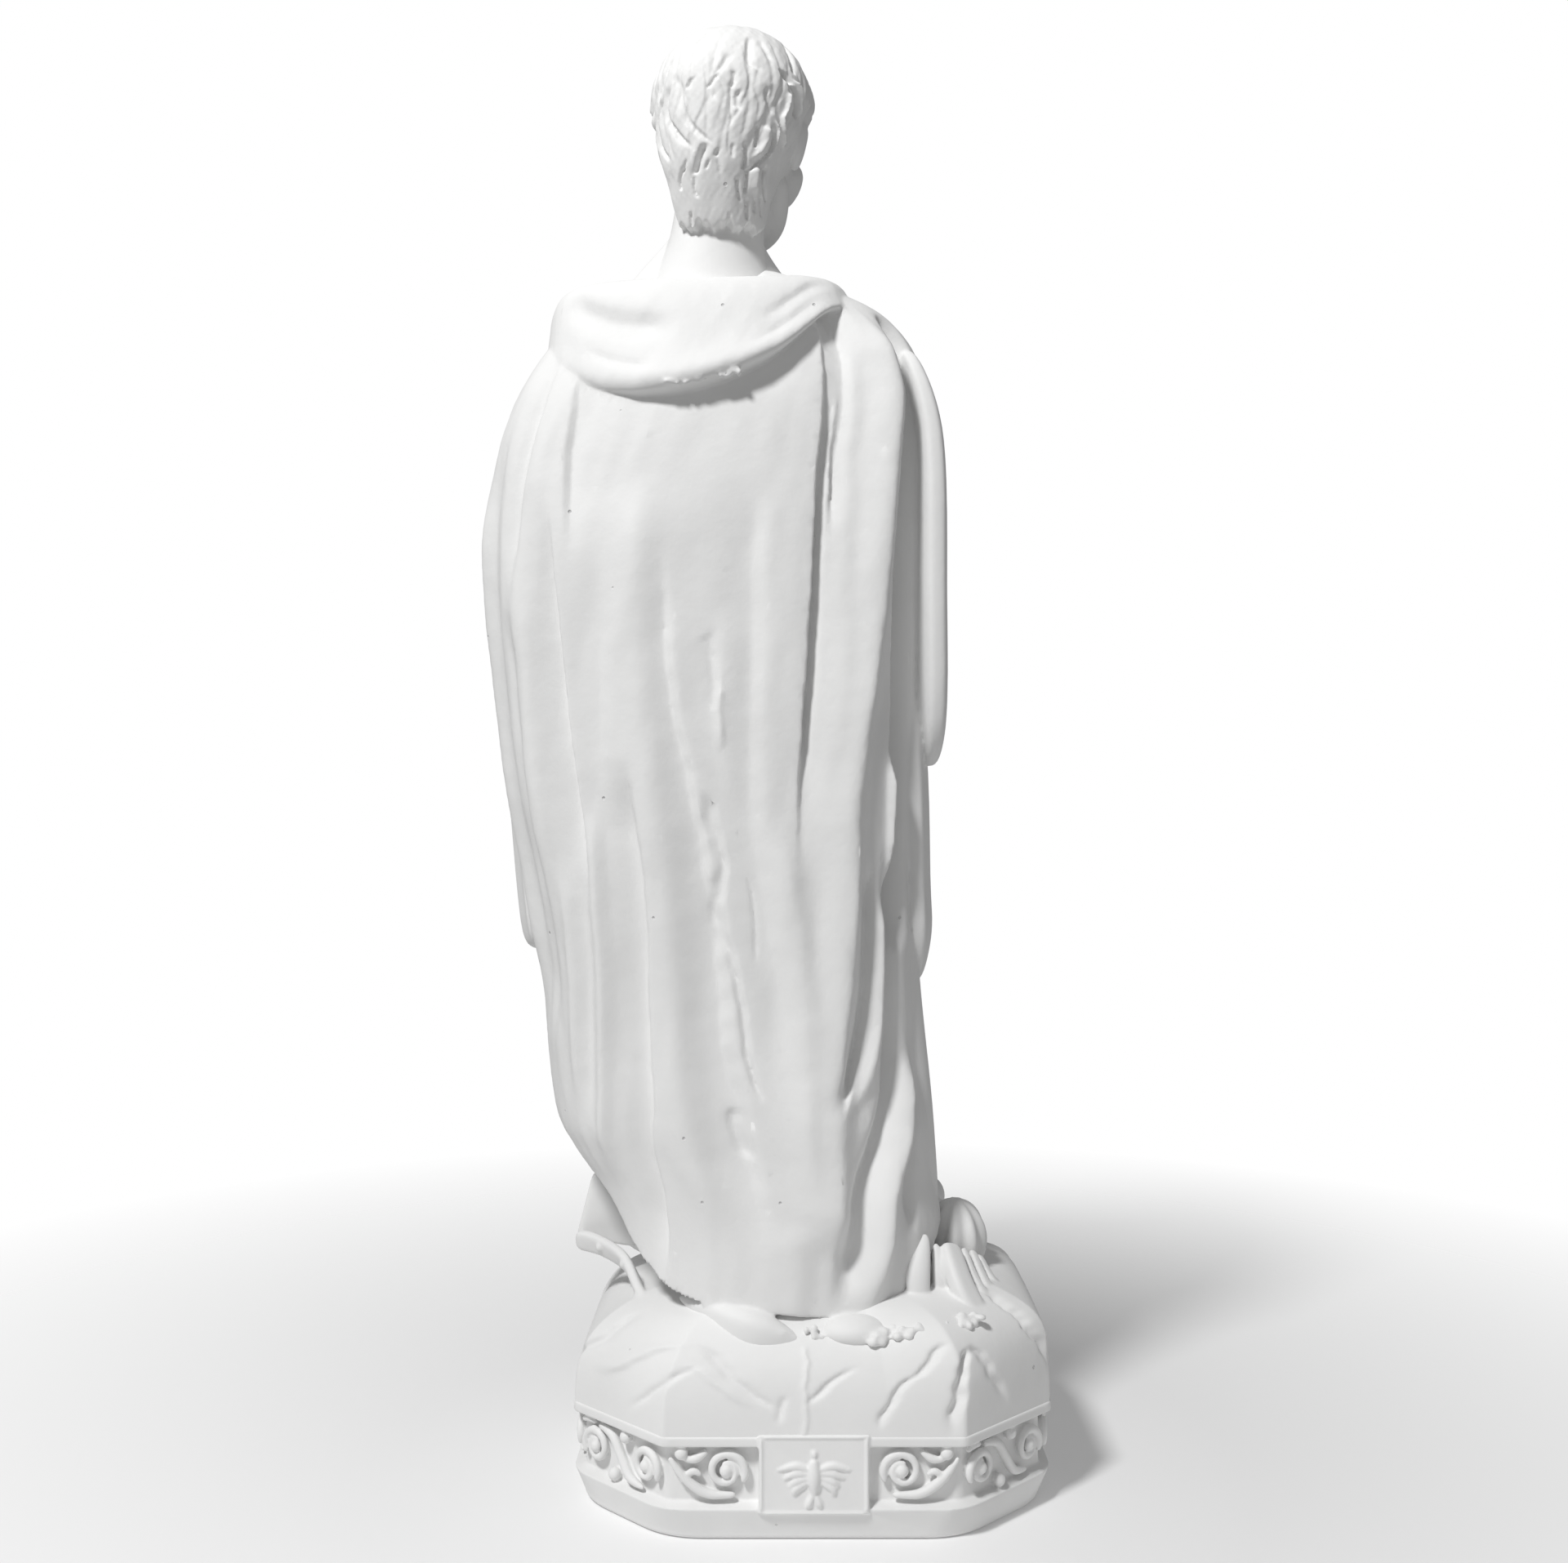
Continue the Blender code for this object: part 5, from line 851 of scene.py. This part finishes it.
# Plinth. Corners are the roundings of its eight corners at the foot, the ledge and above it.
plinth = {
    "width": 0.126, "depth": 0.106, "corner": 0.0250, "band": 0.0085, "frieze": 0.0150, "cap": 0.0030,
    "recess": 0.0032, "slope": 0.0012, "rounding": 0.0018, "taper": 0.0020,
    "panel": 0.0275, "proud": 0.0004,
    "frame": 0.0004, "lift": 0.0015, "corners": (0.022, 0.014, 0.004), "capEdge": 0.0005,
    "panelSunk": 0.001, "panelRaised": 0.0005, "frameInset": 0.0006, "frameRaised": 0.0002,
}


def plinthReach(turn, inset):
    halfWide, halfDeep = plinth["width"] / 2 - inset, plinth["depth"] / 2 - inset
    corner = halfWide + halfDeep - plinth["corner"] + (2 - math.sqrt(2)) * inset
    x, y = np.abs(np.sin(turn)), np.abs(np.cos(turn))
    return 1 / np.maximum(np.maximum(x / halfWide, y / halfDeep), (x + y) / corner)


def moundPlace(t, s):
    turn = t * 2 * np.pi
    rise = np.clip(s * (1 + mound["rim"]) - mound["rim"], 0, 1) * np.pi / 2
    toRight = np.clip(-1.5 * np.sin(turn) - 0.5, 0, 1)
    square = mound["square"] + (mound["squareRight"] - mound["square"]) * toRight
    shrink = np.clip(np.cos(rise), 0, 1) ** (2 / square)
    shrink = np.where(s > 0.9999, 0, shrink)
    lift = np.sin(rise) ** (2 / square)
    degrees = fromBack(turn)
    cracks = relief(mound["cracks"], degrees, s * 100, 0.35) * part * np.sqrt(shrink)
    reach = plinthReach(turn, mound["inset"]) * shrink + cracks * (s > 0.02)
    sink = np.clip(1 - s / 0.1, 0, 1) * mound["sink"]
    lumps = mound["lumps"] * np.sin(5 * turn + 1) * np.sin(s * 9) * lift
    z = mound["foot"] - sink + mound["height"] * lift + cracks * 0.6 * lift + lumps
    return np.stack([reach * np.sin(turn), reach * np.cos(turn), z], axis=-1)


# The plinth is drawn up from its underside and takes the frieze's scrolls and the two square panels.
def outline(inset, rounding=0.0):
    halfWide, halfDeep = plinth["width"] / 2 - inset, plinth["depth"] / 2 - inset
    corner = plinth["corner"] - (2 - math.sqrt(2)) * inset
    corners = []
    for k, (sx, sy) in enumerate(((1, 1), (-1, 1), (-1, -1), (1, -1))):
        pair = [(sx * halfWide, sy * (halfDeep - corner)), (sx * (halfWide - corner), sy * halfDeep)]
        corners += [Vector(point) for point in (pair if k % 2 == 0 else pair[::-1])]
    if not rounding:
        return corners
    points = []
    reach = rounding * math.tan(math.pi / 8)
    for k, corner in enumerate(corners):
        start = corner + (corners[k - 1] - corner).normalized() * reach
        end = corner + (corners[(k + 1) % len(corners)] - corner).normalized() * reach
        for i in range(9):
            t = i / 8
            points.append(start * (1 - t) ** 2 + corner * 2 * t * (1 - t) + end * t * t)
    return points


def makePlinth():
    top = plinth["band"] + plinth["frieze"] + plinth["cap"]
    rounding, taper, recess = plinth["rounding"], plinth["taper"], plinth["recess"]
    foot, shelf, neck = plinth["corners"]
    levels = [(rounding * (1 - math.cos(a)), rounding * (1 - math.sin(a)) + taper, foot) for a in
              [i * math.pi / 12 for i in range(7)]]
    levels += [(plinth["band"], 0.0, shelf), (plinth["band"] + plinth["slope"], recess, neck),
               (top - plinth["cap"], recess, neck), (top - plinth["cap"] + plinth["capEdge"], 0.0, neck),
               (top, 0.0, neck)]
    bm = bmesh.new()
    ring = [bm.verts.new((x, y, levels[0][0])) for x, y in outline(*levels[0][1:])]
    bm.faces.new(ring)
    for height, inset, corner in levels[1:]:
        edges = [edge for edge in bm.edges if edge.is_boundary]
        made = bmesh.ops.extrude_edge_only(bm, edges=edges)
        above = [item for item in made["geom"] if isinstance(item, bmesh.types.BMVert)]
        above.sort(key=lambda vert: math.atan2(vert.co.y, vert.co.x) % (2 * math.pi))
        for vert, (x, y) in zip(above, outline(inset, corner)):
            vert.co = (x, y, height)
    bmesh.ops.holes_fill(bm, edges=[edge for edge in bm.edges if edge.is_boundary], sides=0)
    bmesh.ops.recalc_face_normals(bm, faces=bm.faces)
    forms.append(makeObject("plinthBlock", bm))
    makeFrieze()
    for hand in (1, -1):
        makePanel(hand, top)


def tube(name, points, radii):
    points = np.array([tuple(point) for point in points]) * partsPerMetre
    points[:, 2] -= soleHeight * partsPerMetre
    limb(name, points, np.array(radii) * partsPerMetre, side=(0.31, 0.2, 0.93), around=14,
         up=len(points) * 8, blunt=14)


# Motifs of half a long face and of one corner face, in millimetres along the face and up from the table.
# A short side face has the corner's motifs twice, side by side and narrower.
frieze = {
    "sideShift": 0.0136, "sideShare": 0.8,
    "half": [
        ("scroll", 22.0, 17.6, 6.2, 1),
        ("stem", [(19.5, 11.6), (26.5, 11.9), (32, 15.5), (36.3, 21.0)], 1.2), ("bud", 33.2, 22.0, 1.7),
        ("stem", [(26.6, 22.6), (29.6, 20.6), (32.6, 20.4)], 1.1),
        ("stem", [(28.2, 16.5), (30.4, 17.4), (33.6, 15.0)], 0.9),
    ],
    "corner": [
        ("scroll", -10.0, 16.4, 6.0, 1), ("scroll", 9.8, 16.8, 6.0, -1),
        ("stem", [(-9, 22.2), (-3.6, 21.0), (0, 16.6), (3.6, 12.0), (9, 10.8)], 1.2),
        ("bud", 2.0, 22.0, 1.7), ("bud", -2.6, 11.2, 1.7),
        ("stem", [(-15.6, 22), (-13, 22.8), (-10, 22.4)], 0.9),
    ],
}


def makeFrieze():
    points = [corner.to_3d() for corner in outline(plinth["recess"])]
    for k, start in enumerate(points):
        end = points[(k + 1) % len(points)]
        middle, along = (start + end) / 2, (end - start).normalized()
        normal = Vector((along.y, -along.x, 0))
        if k % 4 == 1:
            makeMotifs(f"{k}left", "half", middle, -along, normal)
            makeMotifs(f"{k}right", "half", middle, along, normal)
        elif k % 2 == 0:
            makeMotifs(str(k), "corner", middle, along, normal)
        else:
            for hand in (-1, 1):
                half = middle + along * frieze["sideShift"] * hand
                makeMotifs(f"{k}half{hand + 1}", "corner", half, along * frieze["sideShare"], normal)


def makeMotifs(name, kind, middle, along, normal):
    for i, (shape, *sizes) in enumerate(frieze[kind]):
        if shape == "scroll":
            place, height, size, hand = sizes
            makeScroll(f"{name}at{i}", middle + along * place * part, along * hand, normal, height, size)
        elif shape == "bud":
            place, height, size = sizes
            makeBud(f"bud{name}at{i}", middle + along * place * part, normal, height, size)
        else:
            path, wide = sizes
            path = [middle + along * a * part + normal * plinth["lift"] + Vector((0, 0, b * part))
                    for a, b in path]
            taper = [0.6] + [1.0] * (len(path) - 2) + [0.5]
            tube(f"stem{name}at{i}", path, [wide * share * part for share in taper])


def makeBud(name, middle, normal, height, size):
    bud = (middle + normal * plinth["lift"]) * partsPerMetre
    ball(name, (bud.x, bud.y, height - soleHeight * partsPerMetre), [size] * 3, 20, 14)


# A scroll winds inwards round its bud: lengths in millimetres, angles in degrees.
scroll = {
    "steps": 17, "start": 215, "winding": 520, "margin": 1.1, "tighten": 0.66, "pace": 0.85,
    "stem": 1.15, "thinner": 0.5, "bud": 0.27,
}


def makeScroll(name, middle, along, normal, height, size):
    points, radii = [], []
    for i in range(scroll["steps"] + 1):
        share = i / scroll["steps"]
        turn = math.radians(scroll["start"] - scroll["winding"] * share)
        reach = (size - scroll["margin"]) * (1 - scroll["tighten"] * share ** scroll["pace"]) * part
        rise = Vector((0, 0, height * part + reach * math.sin(turn)))
        points.append(middle + along * (reach * math.cos(turn)) + rise + normal * plinth["lift"])
        radii.append((scroll["stem"] - scroll["thinner"] * share) * part)
    tube(f"scroll{name}", points, radii)
    makeBud(f"eye{name}", middle, normal, height, size * scroll["bud"])


def makePanel(hand, top):
    bm = bmesh.new()
    bmesh.ops.create_cube(bm, size=1.0)
    depth = plinth["recess"] * 2
    height = top - plinth["band"] + plinth["panelSunk"] + plinth["panelRaised"]
    bmesh.ops.scale(bm, vec=(plinth["panel"], depth, height), verts=bm.verts)
    faceY = plinth["depth"] / 2 + plinth["proud"]
    centre = (0, hand * (faceY - depth / 2), plinth["band"] - plinth["panelSunk"] + height / 2)
    bmesh.ops.translate(bm, vec=centre, verts=bm.verts)
    forms.append(makeObject(f"panel{hand + 1}", bm))
    edge, foot = plinth["panel"] / 2 - plinth["frameInset"], plinth["band"] - plinth["frameInset"]
    roof = top + plinth["frameRaised"]
    corners = [(-edge, foot), (-edge, roof), (edge, roof), (edge, foot), (-edge, foot)]
    for i, (start, end) in enumerate(zip(corners, corners[1:])):
        rail = [Vector((x, hand * faceY, z)) for x, z in (start, end)]
        tube(f"frame{i}on{hand + 1}", rail, [plinth["frame"]] * 2)
    middle = Vector((0, hand * faceY, plinth["band"] + plinth["frieze"] * 0.5))
    for i, (path, wide) in enumerate(dove):
        path = [middle + Vector((x * part, 0, z * part)) for x, z in path]
        tube(f"dove{i}on{hand + 1}", path, [wide * 0.0006, wide * 0.001, wide * 0.0004])


# A plain dove seen from above, its wings spread: paths in millimetres and their widths
dove = [([(0, 5.2), (0, 0.5), (0, -4)], 1.7), ([(0, 5.4), (0, 6.6), (0.6, 7.4)], 0.8)]
for side in (-1, 1):
    for feather in range(4):
        dove.append(([(side * 0.8, 2.4 - feather * 0.8), (side * 4.6, 3.6 - feather * 1.9),
                      (side * (9.2 - feather * 1.5), 2.4 - feather * 2.1)], 0.95))
    dove.append(([(side * 0.3, -3.2), (side * 1.2, -5.6), (side * 2.0, -7.0)], 0.9))


# A new node whose sockets, by name or number, take a value or another node's output
def addNode(tree, kind, sockets, mode=None):
    node = tree.nodes.new("ShaderNode" + kind)
    if mode and kind == "Mix":
        node.data_type = mode
    elif mode and kind == "MapRange":
        node.interpolation_type = mode
    elif mode:
        node.operation = mode
    for socket, value in sockets.items():
        if isinstance(value, bpy.types.NodeSocket):
            tree.links.new(value, node.inputs[socket])
        else:
            node.inputs[socket].default_value = value
    return node


# Unpainted plaster: matt, faintly mottled, with a fine grain and dented pinholes whose darker grey is
# painted shade
def makePlaster():
    material = bpy.data.materials.new("plasterCast")
    material.use_nodes = True
    tree = material.node_tree
    shader = tree.nodes["Principled BSDF"]
    shader.inputs["Roughness"].default_value = 0.62
    shader.inputs["Metallic"].default_value = 0.0
    shader.inputs["Specular IOR Level"].default_value = 0.35
    place = tree.nodes.new("ShaderNodeTexCoord").outputs["Object"]

    mottle = addNode(tree, "TexNoise", {"Vector": place, "Scale": 26.0, "Detail": 5.0})
    tint = addNode(tree, "ValToRGB", {"Fac": mottle.outputs["Fac"]})
    darkest, lightest = tint.color_ramp.elements
    darkest.position, darkest.color = 0.3, (0.77, 0.77, 0.765, 1)
    lightest.position, lightest.color = 0.7, (0.83, 0.83, 0.825, 1)

    # Pinholes in a few voronoi cells are dented by the last bump and painted 0.6 grey as painted shade
    # inside the holes
    cells = addNode(tree, "TexVoronoi", {"Vector": place, "Scale": 210.0})
    size = {"Value": cells.outputs["Distance"], "From Min": 0.06, "From Max": 0.13}
    hole = addNode(tree, "MapRange", size, "SMOOTHSTEP")
    chance = addNode(tree, "Math", {0: cells.outputs["Color"], 1: 0.86}, "LESS_THAN")
    spared = addNode(tree, "Math", {0: hole.outputs["Result"], 1: chance.outputs["Value"]}, "MAXIMUM")
    shades = {0: spared.outputs["Value"], 6: (0.6, 0.6, 0.6, 1), 7: tint.outputs["Color"]}
    pinholeShade = addNode(tree, "Mix", shades, "RGBA")
    tree.links.new(pinholeShade.outputs[2], shader.inputs["Base Color"])

    grain = addNode(tree, "TexNoise", {"Vector": place, "Scale": 900.0, "Detail": 6.0})
    trowel = addNode(tree, "TexNoise", {"Vector": place, "Scale": 160.0, "Detail": 3.0})
    bumps = [{"Height": grain.outputs["Fac"], "Strength": 0.15, "Distance": 0.0002},
             {"Height": trowel.outputs["Fac"], "Strength": 0.25, "Distance": 0.0006},
             {"Height": spared.outputs["Value"], "Strength": 0.6, "Distance": 0.0006}]
    bump = addNode(tree, "Bump", bumps[0])
    for sockets in bumps[1:]:
        bump = addNode(tree, "Bump", {**sockets, "Normal": bump.outputs["Normal"]})
    tree.links.new(bump.outputs["Normal"], shader.inputs["Normal"])
    return material


# Light, floor and camera
light = {"room": 0.275, "power": 12.0, "size": 0.2, "distance": 1.2, "side": 35.5, "rise": 48.0, "aim": 0.2}
floorDisc = {"radius": 0.45, "clearFrom": 0.12, "clearTo": 0.42, "grey": 0.8, "glow": 0.10}


def makeWindow():
    data = bpy.data.lights.new("window", "AREA")
    data.shape = "DISK"
    data.size = light["size"]
    data.energy = light["power"]
    obj = bpy.data.objects.new("window", data)
    bpy.context.scene.collection.objects.link(obj)
    side, rise = math.radians(light["side"]), math.radians(light["rise"])
    towards = Vector((math.sin(side) * math.cos(rise), math.cos(side) * math.cos(rise), math.sin(rise)))
    obj.location = Vector((0, 0, light["aim"])) + towards * light["distance"]
    obj.rotation_euler = towards.to_track_quat("Z", "Y").to_euler()


# The room is white to look at and dimmer as a light, so that the plaster keeps its shadows.
def makeRoom():
    world = bpy.data.worlds.new("room")
    world.use_nodes = True
    tree = world.node_tree
    background = tree.nodes["Background"]
    background.inputs["Color"].default_value = (1, 1, 1, 1)
    seen = tree.nodes.new("ShaderNodeLightPath").outputs["Is Camera Ray"]
    strength = addNode(tree, "MapRange", {"Value": seen, "To Min": light["room"], "To Max": 1.0})
    tree.links.new(strength.outputs["Result"], background.inputs["Strength"])
    bpy.context.scene.world = world


# A pale floor that fades into the white room
def makeFloor():
    bm = bmesh.new()
    bmesh.ops.create_circle(bm, cap_ends=True, radius=floorDisc["radius"], segments=96)
    floor = makeObject("floor", bm)
    material = bpy.data.materials.new("whiteFloor")
    material.use_nodes = True
    tree = material.node_tree
    shader = tree.nodes["Principled BSDF"]
    shader.inputs["Base Color"].default_value = [floorDisc["grey"]] * 3 + [1]
    shader.inputs["Roughness"].default_value = 0.9
    shader.inputs["Emission Color"].default_value = (1, 1, 1, 1)
    shader.inputs["Emission Strength"].default_value = floorDisc["glow"]
    place = tree.nodes.new("ShaderNodeTexCoord").outputs["Object"]
    far = addNode(tree, "VectorMath", {0: place}, "LENGTH")
    fade = addNode(tree, "MapRange", {"Value": far.outputs["Value"], "From Min": floorDisc["clearFrom"],
                                      "From Max": floorDisc["clearTo"]})
    clear = tree.nodes.new("ShaderNodeBsdfTransparent").outputs["BSDF"]
    blend = addNode(tree, "MixShader", {0: fade.outputs["Result"], 1: shader.outputs["BSDF"], 2: clear})
    tree.links.new(blend.outputs["Shader"], tree.nodes["Material Output"].inputs["Surface"])
    floor.data.materials.append(material)


def makeCamera():
    data = bpy.data.cameras.new("photoCamera")
    data.sensor_fit = "HORIZONTAL"
    data.sensor_width = camera["sensor"]
    data.lens = camera["lens"]
    data.clip_start = 0.01
    obj = bpy.data.objects.new("photoCamera", data)
    bpy.context.scene.collection.objects.link(obj)
    obj.location = camera["place"]
    obj.rotation_euler = (math.radians(90), 0, math.radians(180))
    bpy.context.scene.camera = obj
    bpy.context.scene.view_settings.view_transform = "Standard"


makeRoom()
makeWindow()
makeFloor()
makeCamera()
print("stage is set")

makeCloak()
makeBody()
makeArms()
makeLegs()
figurePiece = castForms("figure")
makeHead()
headPiece = castForms("head")
rollGrid("moundRock", 720, 130, moundPlace)
makeHelmet()
makeCrow()
moundPiece = castForms("mound")
makePlinth()
plinthPiece = castForms("plinth")
print("the casting is made")

plaster = makePlaster()
for piece in (figurePiece, headPiece, moundPiece, plinthPiece):
    piece.data.materials.append(plaster)
    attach(piece, "root")
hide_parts("statue")
